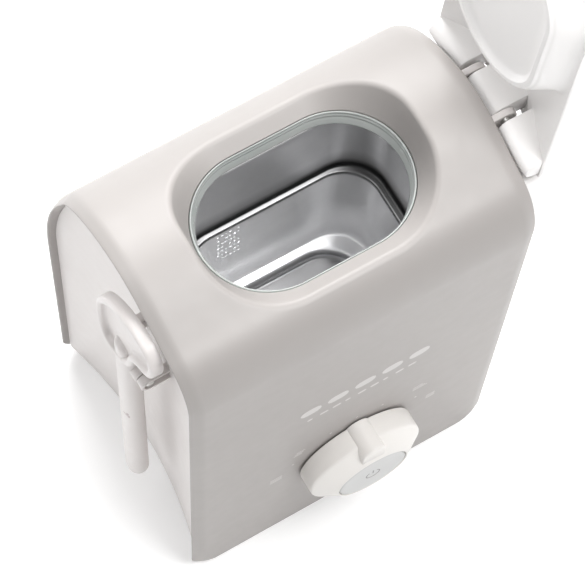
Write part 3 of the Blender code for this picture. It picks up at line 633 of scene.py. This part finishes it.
def lug(bm, root, tip, z, y, r, thick, outer, hollow):
    """A bracket ear with a rounded end, recessed on its outer side like a channel."""
    back = math.copysign(1.0, root - tip)
    outline = [(root, z - r)]
    for i in range(25):
        a = math.radians(-90 + 180 * i / 24)
        outline.append((tip - back * r * math.cos(a), z + r * math.sin(a)))
    outline.append((root, z + r))
    if back > 0:
        outline = outline[::-1]
    area = sum(a[0] * b[1] - b[0] * a[1] for a, b in zip(outline, outline[1:] + outline[:1]))
    if area > 0:
        outline = outline[::-1]
    rim = [(0.35, 0.0), (0.1, 0.1), (0.0, 0.35), (0.0, thick - 0.35), (0.1, thick - 0.1), (0.35, thick)]
    rim += [(1.0, thick), (1.25, thick - 0.1), (1.35, thick - 0.35)]
    rim += [(1.35, thick - hollow), (1.6, thick - hollow - 0.15)]
    rings = []
    for d, w in rim:
        path = inset(outline, d, True)
        rings.append([(u, y + outer * (w - thick), v) for u, v in path])
    skin(bm, rings)


def left_panel():
    bm = hollow_panel(-1)
    for s in (-1, 1):
        y = LATCH_Y + s * (EAR_SPREAD + 1.4 + 1.4)
        lug(bm, panel_x(LATCH_Y) + 1.0, 0.0, LATCH_Z, y, 4.3, 4.2, s, 2.6)
    return piece("left_panel", bm, "off_white", "body", ["left_end_panel"], 30.0)


def right_panel():
    bm = hollow_panel(1)
    for s in (-1, 1):
        y = MOUTH[1] + s * (EAR_SPREAD + 1.4)
        lug(bm, BODY_W - panel_x(MOUTH[1]) - 0.5, HINGE[0], HINGE[1], y, 5.2, 2.8, s, 0.4)
    return piece("right_panel", bm, "off_white", "body", ["right_end_panel"], 30.0)


# ---------------------------------------------------------------- tank and gasket


def stretch_rings(steps, count=20):
    return [ring(hx, hy, r, z, MOUTH, count) for hx, hy, r, z in steps]


def round_step(a, b, c, steps=4):
    """A rounded corner at b between (hx, hy, r, z) stations a and c."""
    out = []
    for i in range(steps + 1):
        t = i / steps
        s = 1 - t
        out.append(tuple(s * s * a[k] + 2 * s * t * b[k] + t * t * c[k] for k in range(4)))
    return out


def steel_tank():
    f = FLANGE_Z
    wide, deep = (46.2, 27.4, 18.0), (42.2, 24.8, 16.0)
    steps = [(50.8, 34.3, 25.8, f - 1.0), (51.0, 34.5, 26.0, f - 0.5), (50.8, 34.3, 25.8, f)]
    steps += round_step((47.6, 28.8, 19.4, f), (*wide, f), (*wide, f - 1.4))
    steps += [(*wide, z) for z in (226.0, 216.0, 206.0, 196.0, 188.5)]
    steps += round_step((*wide, 186.4), (*wide, LEDGE_Z + 0.3), (44.9, 26.6, 17.2, LEDGE_Z + 0.1), 6)
    steps += round_step((43.4, 25.6, 16.6, LEDGE_Z - 0.1), (*deep, LEDGE_Z - 0.2), (*deep, LEDGE_Z - 1.8), 5)
    draft = [(180.0, 0.0), (170.0, 0.15), (160.0, 0.3), (150.0, 0.45), (141.0, 0.6)]
    steps += [(deep[0] - d, deep[1] - d * 0.6, deep[2], z) for z, d in draft]
    steps += round_step((41.6, 24.4, 16.0, 136.0), (41.4, 24.2, 16.0, 126.6), (38.4, 22.2, 16.6, BASIN_Z), 9)
    sump_edge = (34.0, 18.9, 18.9, BASIN_Z)
    steps += round_step((35.4, 20.2, 18.6, BASIN_Z), sump_edge, (33.7, 18.6, 18.6, 125.3), 4)
    steps += round_step((33.2, 18.1, 18.1, 123.0), (32.6, 17.6, 17.6, 121.1), (30.8, 15.8, 15.8, SUMP_Z), 5)
    steps += [(15.0 + k * 15.8, k * 15.8, k * 15.8, SUMP_Z) for k in (0.8, 0.5, 0.2)]
    bm = loft(stretch_rings(steps), caps=(False, True))
    return piece("steel_tank", bm, "stainless", "body", ["tank"], 50.0)


def dash_grid():
    """Small embossed dashes on the basin's far wall."""
    bm = bmesh.new()
    wall = MOUTH[1] + 24.8
    for row in range(7):
        for col in range(6):
            if (row * 5 + col * 3) % 7 == 0:
                continue
            x, z = 52.6 + 1.9 * col, 154.5 + 3.9 * row
            y = wall - 0.6 * (LEDGE_Z - z) / 42.0 * 0.6
            w = 0.95 if (row + col) % 2 else 0.65
            outline = [(x, z), (x, z + 0.55), (x + w, z + 0.55), (x + w, z)]
            prism(bm, outline, "Y", y - 0.07, y + 0.3, 0.03)
    return piece("dash_grid", bm, "stainless", "body")


def seal_ring():
    """The gasket: a foot under the collar and a sleeve that slopes in, with fine ridges."""
    low, high, top = FLANGE_Z + 0.3, COLLAR_Z - 0.3, NECK_Z
    steps = [(43.3, 27.8, 99, low), (49.7, 33.2, 25.0, low), (49.7, 33.2, 25.0, high)]
    steps += [(NECK[0] - 0.3, NECK[1] - 0.3, 99, high), (NECK[0] - 0.3, NECK[1] - 0.3, 99, top - 0.5)]
    steps += [(NECK[0] - 0.4, NECK[1] - 0.4, 99, top - 0.15), (NECK[0] - 0.65, NECK[1] - 0.65, 99, top)]
    sleeve = [(0.9, 0.0), (1.15, -0.35), (1.2, -0.95), (0.95, -1.25), (0.95, -1.75), (1.25, -2.0)]
    sleeve += [(1.45, -2.5), (1.45, -3.1), (1.2, -3.4), (1.2, -4.0), (1.5, -4.3)]
    sleeve += [(1.8, -5.0), (2.1, -5.9), (2.45, -6.6)]
    sleeve += [(2.6, -7.2), (2.6, -7.75)]
    steps += [(NECK[0] - d, NECK[1] - d * 0.78, 99, top + dz) for d, dz in sleeve]
    rings = [ring(hx, hy, r, z, MOUTH, 24) for hx, hy, r, z in steps]
    return piece("seal_ring", loft(rings, closed=True), "silicone", "body", ["tank_gasket"], 60.0)


# ---------------------------------------------------------------- knob


def knob_dial():
    bm = bmesh.new()
    y = KNOB_FACE
    profile = [(5.5, 1.0), (26.2, 1.0), (26.8, 1.25), (27.0, 1.8), (27.0, 9.6)]
    profile += [(26.9, 10.35), (26.55, 10.95), (26.0, 11.35)]
    profile += [(17.3, 16.95), (16.95, 17.05), (16.7, 16.9), (16.6, 16.5), (16.6, 9.0), (3.5, 9.0)]
    lathe_y(bm, profile, KNOB[0], y, KNOB[1], caps=(False, False))
    half, high = 5.75, 23.8
    outline = [(KNOB[0] + half, KNOB[1] + 17.6), (KNOB[0] - half, KNOB[1] + 17.6)]
    for i in range(25):
        a = math.radians(180 - 180 * i / 24)
        outline.append((KNOB[0] + half * math.cos(a), KNOB[1] + high + half * math.sin(a)))
    rings = []
    for d, w in [(0.0, 1.2), (0.0, 15.0), (0.1, 15.5), (0.35, 15.9), (0.8, 16.1)]:
        rings.append([(u, y - w, v) for u, v in inset(outline, d, True)])
    skin(bm, rings)
    return piece("knob_dial", bm, "knob_white", "knob", ["control_knob"], 35.0)


def power_disc():
    bm = bmesh.new()
    top = 17.0
    profile = [(3.2, -14.6), (3.2, top - 4.4), (16.2, top - 4.4), (16.2, top - 0.5), (16.1, top - 0.2)]
    profile += [(15.8, top - 0.02), (14.5, top), (10.0, top), (5.0, top), (1.5, top)]
    lathe_y(bm, profile, KNOB[0], KNOB_FACE, KNOB[1])
    piece("power_disc", bm, "disc_grey", "button", ["power_button"], 35.0)
    bm = bmesh.new()
    face = KNOB_FACE - top
    line_arc(bm, 3.3, 0.28, 125.0, 415.0, face)
    strip(bm, (KNOB[0] - 0.28, KNOB[1] + 1.0), (KNOB[0] + 0.28, KNOB[1] + 4.4), face)
    return piece("power_mark", bm, "mark_grey", "button")


def line_arc(bm, r, half, start, end, face):
    count = 40
    rings = []
    for i in range(count + 1):
        a = math.radians(start + (end - start) * i / count)
        c, s = math.cos(a), math.sin(a)
        pts = [(r - half, 0.0), (r + half, 0.0), (r + half, 0.06), (r - half, 0.06)]
        rings.append([(KNOB[0] + q * c, face - h, KNOB[1] + q * s) for q, h in pts])
    skin(bm, rings)


def strip(bm, lo, hi, face):
    outline = [(lo[0], lo[1]), (lo[0], hi[1]), (hi[0], hi[1]), (hi[0], lo[1])]
    rings = [[(u, face - h, v) for u, v in outline] for h in (0.0, 0.06)]
    skin(bm, rings)


# ---------------------------------------------------------------- latch


def hood_outline(steps=14):
    points = bezier((18.0, 226.0), (15.5, 236.0), (15.5, 246.0), (25.0, 247.0), steps)
    points += bezier((25.0, 247.0), (40.0, 249.0), (61.0, 226.0), (62.0, 208.0), steps)
    points += bezier((62.0, 208.0), (63.0, 196.0), (63.0, 184.0), (57.0, 181.0), steps)
    points += bezier((57.0, 181.0), (50.0, 178.5), (36.0, 184.0), (34.0, 204.0), steps)
    points += bezier((34.0, 204.0), (32.5, 214.0), (20.0, 218.0), (18.0, 226.0), steps)
    return points


def latch_arm():
    bm = bmesh.new()
    cx, cy = -2.5, LATCH_Y
    ends = []
    for i in range(9):
        a = math.radians(90 * i / 8)
        ends.append((4.6 * (1 - math.cos(a)), math.sin(a)))
    ends[0] = (0.0, 0.12)
    foot, top = 36.0, 197.0
    stations = [(foot + d, k) for d, k in ends] + [(top - d, k) for d, k in ends[::-1]]
    rings = [ring(4.6 * k, 5.6 * k, 4.4 * k, z, (cx, cy), 8) for z, k in stations]
    skin(bm, rings)
    outline = hood_outline()
    rim = [(0.0, -2.1), (0.0, -5.8), (0.18, -6.5), (0.6, -7.1), (1.15, -7.42), (1.7, -7.5), (2.25, -7.42)]
    rim += [(2.8, -7.1), (3.2, -6.5), (3.4, -5.8), (3.6, -5.2), (4.1, -4.75), (4.9, -4.6)]
    rings = [[(x, u, v) for u, v in inset(outline, d, True)] for d, x in rim]
    skin(bm, rings)
    half = EAR_SPREAD - 1.4 - 0.3
    barrel = [(4.2, -half), (4.8, -half + 0.6), (4.8, half - 0.6), (4.2, half)]
    rings = [[(u, LATCH_Y + y, v) for u, v in circle(0.0, LATCH_Z, r, 48)] for r, y in barrel]
    skin(bm, rings)
    return piece("latch_arm", bm, "off_white", "latch", ["latch_lever"], 40.0)


def stick_mark():
    """A small raised arrow wrapped on the stick's front edge."""
    bm = bmesh.new()
    for lo, hi, z, h in ((-30.0, 34.0, 118.0, 0.7), (20.0, 34.0, 118.7, 2.2), (27.0, 41.0, 116.6, 2.0)):
        outline = []
        count = 10
        for lift in (0.0, 0.07):
            arc = []
            for i in range(count + 1):
                a = math.radians(lo + (hi - lo) * i / count)
                across = -2.5 - (0.2 + lift + 4.4 * math.cos(a))
                arc.append((across, LATCH_Y - 1.2 - (lift + 4.4 * math.sin(a))))
            outline.append(arc)
        path = outline[0] + outline[1][::-1]
        skin(bm, [[(x, y, z + k * h) for x, y in path] for k in (0.0, 1.0)])
    return piece("stick_mark", bm, "mark_rose", "latch")


def cross_pin(name, x, y, z, node):
    """A steel pin along Y with chamfered ends that stand a little proud of the ears."""
    bm = bmesh.new()
    half = EAR_SPREAD + 1.4 + 0.6
    steps = [(1.3, -half - 0.5), (1.8, -half - 0.3), (2.0, -half)]
    steps += [(2.0, half), (1.8, half + 0.3), (1.3, half + 0.5)]
    skin(bm, [[(u, y + along, v) for u, v in circle(x, z, r, 40)] for r, along in steps])
    return piece(name, bm, "zinc_screw", "body", [node])


# ---------------------------------------------------------------- lid


def lid_half(x):
    reach = (150.0 - x) / 161.0
    if reach <= 0:
        return LID_HALF
    return LID_HALF * max(0.0, 1 - reach**2.9) ** (1 / 2.9)


def lid_outline():
    near = []
    for i in range(49):
        x = -11.0 + 161.0 * (1 - math.cos(math.pi / 2 * i / 48))
        near.append((x, -lid_half(x)))
    for i in range(1, 13):
        a = math.radians(90 * i / 12)
        near.append((150.0 + 14.0 + 6.0 * math.sin(a), -LID_HALF + 6.0 * (1 - math.cos(a))))
    side = LID_HALF - 6.0
    end = [(170.0, -side + side * i / 12) for i in range(1, 24)]
    return near + end + [(x, -y) for x, y in near[::-1]][:-1]


def lid_turn():
    centre = Vector((HINGE[0], 0, HINGE[1]))
    swing = Matrix.Rotation(math.radians(LID_OPEN), 4, "Y")
    return Matrix.Translation(centre) @ swing @ Matrix.Translation(-centre)


def lid_ring(outline, k, lift):
    """The outline shrunk by k towards the lid's spine, lifted above the crown."""
    points = []
    for x, y in outline:
        px, py = 80.0 + (x - 80.0) * k, y * k
        points.append((px, MOUTH[1] + py, crown_z(MOUTH[1] + py) + lift(py)))
    return points


def apron(bm, lo, hi):
    """One side of the lid's hinge: a round nose about the axis that runs up into the cover."""
    rings = []
    stations = [(lo, 1.0), (lo + 0.3, 0.3), (lo + 1.0, 0.0), (hi - 1.0, 0.0), (hi - 0.3, 0.3), (hi, 1.0)]
    for y, shrink in stations:
        r = 5.6 - shrink
        nose = [(HINGE[0] + r * math.cos(a), y, HINGE[1] + r * math.sin(a))
                for a in [math.radians(-180 * i / 24) for i in range(25)]]
        high = crown_z(y) + 2.0 - shrink
        rings.append(nose + [(HINGE[0] - r, y, high), (HINGE[0] + r, y, high)])
    skin(bm, rings)


def lid_shell():
    bm = bmesh.new()
    outline = lid_outline()
    edge = 3.6

    def top(py):
        return 0.6 + 7.0 - (7.0 - edge) * abs(py / LID_HALF) ** 3

    rings = []
    for k in (0.1, 0.25, 0.4, 0.5, 0.6, 0.68, 0.76, 0.84, 0.9, 0.975):
        rings.append(lid_ring(outline, k, lambda py: 0.8))
    for i in range(9):
        a = math.radians(-90 + 180 * i / 8)
        k = 1 - 0.02 * (1 - math.cos(a))
        rings.append(lid_ring(outline, k, lambda py: 0.8 + (top(py) - 0.8) * (0.5 + 0.5 * math.sin(a))))
    for k in (0.96, 0.93, 0.88, 0.8, 0.7, 0.55, 0.4, 0.25, 0.1):
        rings.append(lid_ring(outline, k, top))
    skin(bm, rings)
    y0, y1 = MOUTH[1] - 15.0, MOUTH[1] + 15.0
    rings = []
    lip = [(-10.6, 263.0), (-10.9, 241.0), (-10.4, 240.1), (-9.5, 240.0)]
    lip += [(-8.6, 240.1), (-8.1, 240.8), (-8.1, 263.0)]
    for x, z in lip:
        rings.append([(x, y0 + (y1 - y0) * j / 8, z) for j in range(9)])
    rows = skin(bm, rings, wrap=False)
    for j in (0, 8):
        bm.faces.new([row[j] for row in rows])
    half = EAR_SPREAD - 1.4 - 0.3
    apron(bm, MOUTH[1] - half, MOUTH[1] + half)
    apron(bm, 11.5, MOUTH[1] - EAR_SPREAD - 3.2)
    apron(bm, MOUTH[1] + EAR_SPREAD + 3.2, 82.5)
    return piece("lid_shell", bm, "lid_white", "lid", ["lid_cover"], 40.0, lid_turn())


def lid_plug():
    """The plug under the lid: a soft fillet off the cover, a sealing edge and a dished face."""
    bm = bmesh.new()
    rings = []
    foot = NECK_Z - 1.6
    for i in range(13):
        t = i / 12
        fall = t * t * (3 - 2 * t)
        line = []
        for x, y, _ in ring(42.2 + 6.6 * (1 - t), 26.8 + 8.6 * (1 - t) ** 1.3, 99, 0.0, MOUTH, 24):
            high = crown_z(y) + 0.8
            line.append((x, y, high + (foot - high) * fall))
        rings.append(line)
    steps = [(42.0, 26.6, NECK_Z - 2.1), (41.5, 26.1, NECK_Z - 2.8), (40.6, 25.2, NECK_Z - 3.0)]
    steps += [(39.4, 24.0, NECK_Z - 2.9), (38.8, 23.4, NECK_Z - 2.3), (38.0, 22.6, NECK_Z - 0.9)]
    steps += [(37.0, 21.6, NECK_Z - 0.4), (33.0, 17.6, NECK_Z - 0.2), (22.0, 7.0, NECK_Z)]
    rings += [ring(hx, hy, 99, z, MOUTH, 24) for hx, hy, z in steps]
    skin(bm, rings)
    return piece("lid_plug", bm, "lid_white", "lid", ["lid_liner"], 40.0, lid_turn())


def hinge_block():
    """The fixed block on the right end, under the open lid."""
    bm = bmesh.new()
    near, far, out, low, high, r = 13.0, 81.0, 168.0, 184.0, 233.0, 6.0
    steps = [(5.0, low), (2.6, low + 0.7), (1.2, low + 2.0), (0.4, low + 4.4), (0.0, low + 8.0)]
    steps += [(0.0, high - 2.0), (0.15, high - 1.2), (0.6, high - 0.5)]
    steps += [(1.2, high - 0.12), (2.0, high), (6.0, high)]
    rings = []
    for d, z in steps:
        ys = [far - d + (near - far + 2 * d) * i / 20 for i in range(21)]
        points = [(BODY_W - panel_x(y) + 2.4 + d / 2, y, z) for y in ys]
        for k, (x, y) in enumerate([(out - d - r, near + d + r), (out - d - r, far - d - r)]):
            for i in range(13):
                a = math.radians(90 * (k - 1 + i / 12))
                points.append((x + r * math.cos(a), y + r * math.sin(a), z))
        rings.append(points)
    skin(bm, rings)
    return piece("hinge_block", bm, "lid_white", "body", ["hinge_housing"])


# ---------------------------------------------------------------- base, feet and fasteners


def under_plate():
    """The base plate: hollowed ends, a stiffening rim, ribs and a vent grid underneath."""
    side = [(panel_x(y), y) for y in [3.8 + 116.4 * i / 40 for i in range(41)]]
    outline = side + [(BODY_W - x, y) for x, y in side[::-1]]
    bm = bmesh.new()
    rings = []
    edge = [(0.0, 5.5), (0.0, 3.3), (0.15, 2.95), (0.5, 2.8)]
    edge += [(2.2, 2.8), (2.5, 3.0), (2.6, 3.5), (4.0, 3.5)]
    for d, z in edge:
        rings.append([(x, y, z) for x, y in inset(outline, d, True)])
    skin(bm, rings)
    for x, y in BASE_SCREWS:
        steps = [(6.0, 3.5), (6.0, 3.0), (5.8, 2.8), (3.6, 2.8), (3.4, 3.0), (3.4, 3.6)]
        skin(bm, [[(u, v, z) for u, v in circle(x, y, r, 32)] for r, z in steps], caps=(False, False))
    for x, y in FEET:
        steps = [(9.4, 3.5), (9.4, 3.0), (9.2, 2.8), (7.6, 2.8), (7.4, 3.0), (7.4, 3.6)]
        skin(bm, [[(u, v, z) for u, v in circle(x, y, r, 40)] for r, z in steps], caps=(False, False))
    for i in range(9):
        x = 59.0 + 4.0 * i
        prism(bm, [(x, 46.0), (x, 78.0), (x + 1.4, 78.0), (x + 1.4, 46.0)], "Z", 2.9, 3.6, 0.2)
    return piece("under_plate", bm, "off_white", "body", ["base_plate"], 30.0)


def rubber_feet():
    for i, (x, y) in enumerate(FEET, 1):
        steps = [(1.5, 0.25), (3.6, 0.25), (4.0, 0.0), (5.6, 0.0)]
        steps += [(6.4, 0.2), (6.85, 0.6), (7.0, 1.2), (7.0, 2.5)]
        bm = loft([[(u, v, z) for u, v in circle(x, y, r, 48)] for r, z in steps])
        piece(f"rubber_foot_{i}", bm, "rubber", "body", [f"foot_{i}"])


def crosshead(name, x, y, low, top, node):
    """A pan-head screw with a cross recess, its point up."""
    bm = bmesh.new()
    steps = [(0.6, low), (1.6, low), (2.3, low + 0.15), (2.8, low + 0.5), (3.0, low + 1.0), (3.0, low + 1.6)]
    steps += [(1.4, low + 1.6), (1.4, top - 1.2), (0.5, top)]
    skin(bm, [[(u, v, z) for u, v in circle(x, y, r, 32)] for r, z in steps])
    for w, h in ((1.5, 0.28), (0.28, 1.5)):
        bar = [(x - w, y - h), (x - w, y + h), (x + w, y + h), (x + w, y - h)]
        prism(bm, bar, "Z", low - 0.03, low + 0.2)
    thread = low + 3.0
    while thread < top - 1.6:
        crest = [(1.38, thread - 0.25), (1.6, thread), (1.38, thread + 0.25)]
        rings = [[(u, v, z) for u, v in circle(x, y, r, 24)] for r, z in crest]
        skin(bm, rings, caps=(False, False))
        thread += 0.9
    return piece(name, bm, "zinc_screw", "body", [node])


def fasteners():
    for i, (x, y) in enumerate(BASE_SCREWS, 1):
        crosshead(f"base_fastener_{i}", x, y, 0.9, 15.0, f"base_screw_{i}")
    for i, (x, y) in enumerate(TANK_SCREWS, 1):
        crosshead(f"tank_fastener_{i}", x, y, CLAMP_Z - 6.5, NECK_Z, f"tank_screw_{i}")


def grommet():
    """The rubber grommet in the back wall, ribbed round its neck."""
    bm = bmesh.new()
    face = back_line(GLAND[1])[0]
    profile = [(3.3, 5.0), (3.3, -3.5), (3.5, -3.85), (3.9, -3.85), (6.4, -3.85), (7.1, -3.6)]
    profile += [(7.5, -3.1), (7.6, -2.4), (7.6, -0.9), (7.4, -0.5), (5.1, -0.5), (5.1, 4.8), (4.9, 5.0)]
    rings = []
    for r, h in profile:
        rings.append([(u, face - h, v) for u, v in circle(*GLAND, r, 48)])
    skin(bm, rings, closed=True)
    for r in (5.1, 6.0):
        lines = [(r - 0.25, -3.85), (r, -3.96), (r + 0.25, -3.85)]
        ridge = [[(u, face - h, v) for u, v in circle(*GLAND, q, 48)] for q, h in lines]
        skin(bm, ridge, caps=(False, False))
    return piece("grommet", bm, "rubber", "body", ["cord_gland"])


# ---------------------------------------------------------------- print on the front


def on_front(u, v, lift):
    """A point of the front face: u to the right, v up, lift out of it."""
    return flare((u, -3.6 * v / 222.0 - lift, v))


def decal(bm, outline):
    rings = [[on_front(u, v, h) for u, v in outline] for h in (-0.02, 0.05)]
    skin(bm, rings)


def pill(u, v, w, h, count=6):
    """A bar with round ends, as a clockwise outline."""
    r = h / 2
    points = []
    for cu, first in ((u + r, 270.0), (u + w - r, 90.0)):
        for i in range(count + 1):
            a = math.radians(first - 180.0 * i / count)
            points.append((cu + r * math.cos(a), v + r + r * math.sin(a)))
    return points


def around_knob(r, deg):
    a = math.radians(deg)
    return KNOB[0] + r * math.cos(a), KNOB[1] + r * math.sin(a)


def front_print():
    bm = bmesh.new()
    for i in range(5):
        decal(bm, pill(49.0 + 12.6 * i, 147.2, 9.8, 6.6))
    for i in range(9):
        decal(bm, pill(52.5 + 5.9 * i, 138.8, 4.1 if i % 3 else 2.6, 1.9, 4))
    for i in range(3):
        u, v = around_knob(38.5, 172.0)
        decal(bm, pill(u - 3.0, v - 2.2 + 1.8 * i, 6.0, 0.7, 3))
        u, v = around_knob(38.5, 136.0)
        decal(bm, pill(u - 2.6 + 0.7 * i, v - 2.0 + 1.7 * i, 4.2, 0.7, 3))
        u, v = around_knob(41.5, 42.0)
        decal(bm, pill(u - 3.4, v - 1.6 + 1.6 * i, 7.4 - 1.2 * i, 0.6, 3))
        u, v = around_knob(38.5, 8.0)
        decal(bm, pill(u - 2.2, v - 1.8 + 1.7 * i, 4.6, 0.7, 3))
    for deg in (154.0, 112.0, 90.0, 68.0, 26.0):
        u, v = around_knob(33.5, deg)
        decal(bm, pill(u - 0.6, v - 0.6, 1.2, 1.2, 5))
    return piece("front_print", bm, "print_pale", "body")


# ---------------------------------------------------------------- build


body_shell()
left_panel()
right_panel()
steel_tank()
seal_ring()
knob_dial()
power_disc()
latch_arm()
stick_mark()
cross_pin("latch_axle", 0.0, LATCH_Y, LATCH_Z, "latch_pin")
lid_shell()
lid_plug()
cross_pin("lid_axle", HINGE[0], MOUTH[1], HINGE[1], "lid_hinge_pin")
hinge_block()
under_plate()
rubber_feet()
fasteners()
grommet()
dash_grid()
front_print()

for name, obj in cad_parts.items():
    for i, mat_slot in enumerate(obj.material_slots):
        base = mat_slot.material.name.split(".")[0] if mat_slot.material else ""
        if base in M:
            obj.material_slots[i].material = M[base]


# ---------------------------------------------------------------- stage, light and camera


def floor():
    mat, tree, shader = new_material("floor_pale")
    at = coords(tree)
    tone = remap(tree, noise(tree, at, 3.0, 2.0), 0.3, 0.7, 0.0, 1.0)
    colour = two_tone(tree, tone, (0.90, 0.90, 0.90), (0.885, 0.885, 0.885))
    tree.links.new(colour, shader.inputs["Base Color"])
    shader.inputs["Roughness"].default_value = 0.9
    shader.inputs["Emission Color"].default_value = (1.0, 1.0, 1.0, 1.0)
    shader.inputs["Emission Strength"].default_value = 0.22
    mesh = bpy.data.meshes.new("floor")
    s = 6.0
    sunk = -0.0002
    mesh.from_pydata([(-s, -s, sunk), (s, -s, sunk), (s, s, sunk), (-s, s, sunk)], [], [(0, 1, 2, 3)])
    obj = bpy.data.objects.new("floor", mesh)
    obj.data.materials.append(mat)
    bpy.context.scene.collection.objects.link(obj)


def area_light(name, at, target, size, watts, colour=(1, 1, 1), size_y=None):
    data = bpy.data.lights.new(name, "AREA")
    data.shape = "RECTANGLE"
    data.size = size
    data.size_y = size_y or size
    data.energy = watts
    data.color = colour
    obj = bpy.data.objects.new(name, data)
    bpy.context.scene.collection.objects.link(obj)
    obj.location = at
    obj.rotation_mode = "QUATERNION"
    obj.rotation_quaternion = (Vector(target) - Vector(at)).to_track_quat("-Z", "Y")
    return obj


def sky(strength):
    world = bpy.data.worlds.new("studio")
    bpy.context.scene.world = world
    world.use_nodes = True
    back = world.node_tree.nodes["Background"]
    back.inputs["Color"].default_value = (1.0, 1.0, 1.0, 1.0)
    back.inputs["Strength"].default_value = strength


def camera():
    data = bpy.data.cameras.new("camera")
    data.lens = CAMERA_LENS
    data.sensor_width = 36.0
    obj = bpy.data.objects.new("camera", data)
    bpy.context.scene.collection.objects.link(obj)
    right = Vector((0.8621, -0.5061, 0.026)).normalized()
    back = Vector((-0.2025, -0.2968, 0.9332)).normalized()
    up = back.cross(right).normalized()
    right = up.cross(back)
    turn = Matrix((right, up, back)).transposed()
    at = ORIGIN + Vector(CAMERA_AT) * 0.001
    obj.matrix_world = Matrix.Translation(at) @ turn.to_4x4()
    data.clip_start = 0.05
    bpy.context.scene.camera = obj
    bpy.context.scene.view_settings.view_transform = "Standard"


floor()
sky(0.38)
area_light("key_soft", (0.30, -0.50, 1.5), (0.05, 0.0, 0.2), 0.62, 15.5)
area_light("back_soft", (0.4, 1.3, 1.15), (0.0, 0.0, 0.2), 1.0, 30.0)
area_light("right_soft", (1.3, 0.3, 1.1), (0.0, 0.0, 0.2), 1.0, 3.0)
area_light("left_soft", (-1.3, 0.5, 1.2), (0.1, 0.05, 0.3), 0.8, 1.5)
area_light("lid_soft", (-0.36, 0.22, 0.86), (0.10, 0.0, 0.42), 0.4, 1.3)
camera()
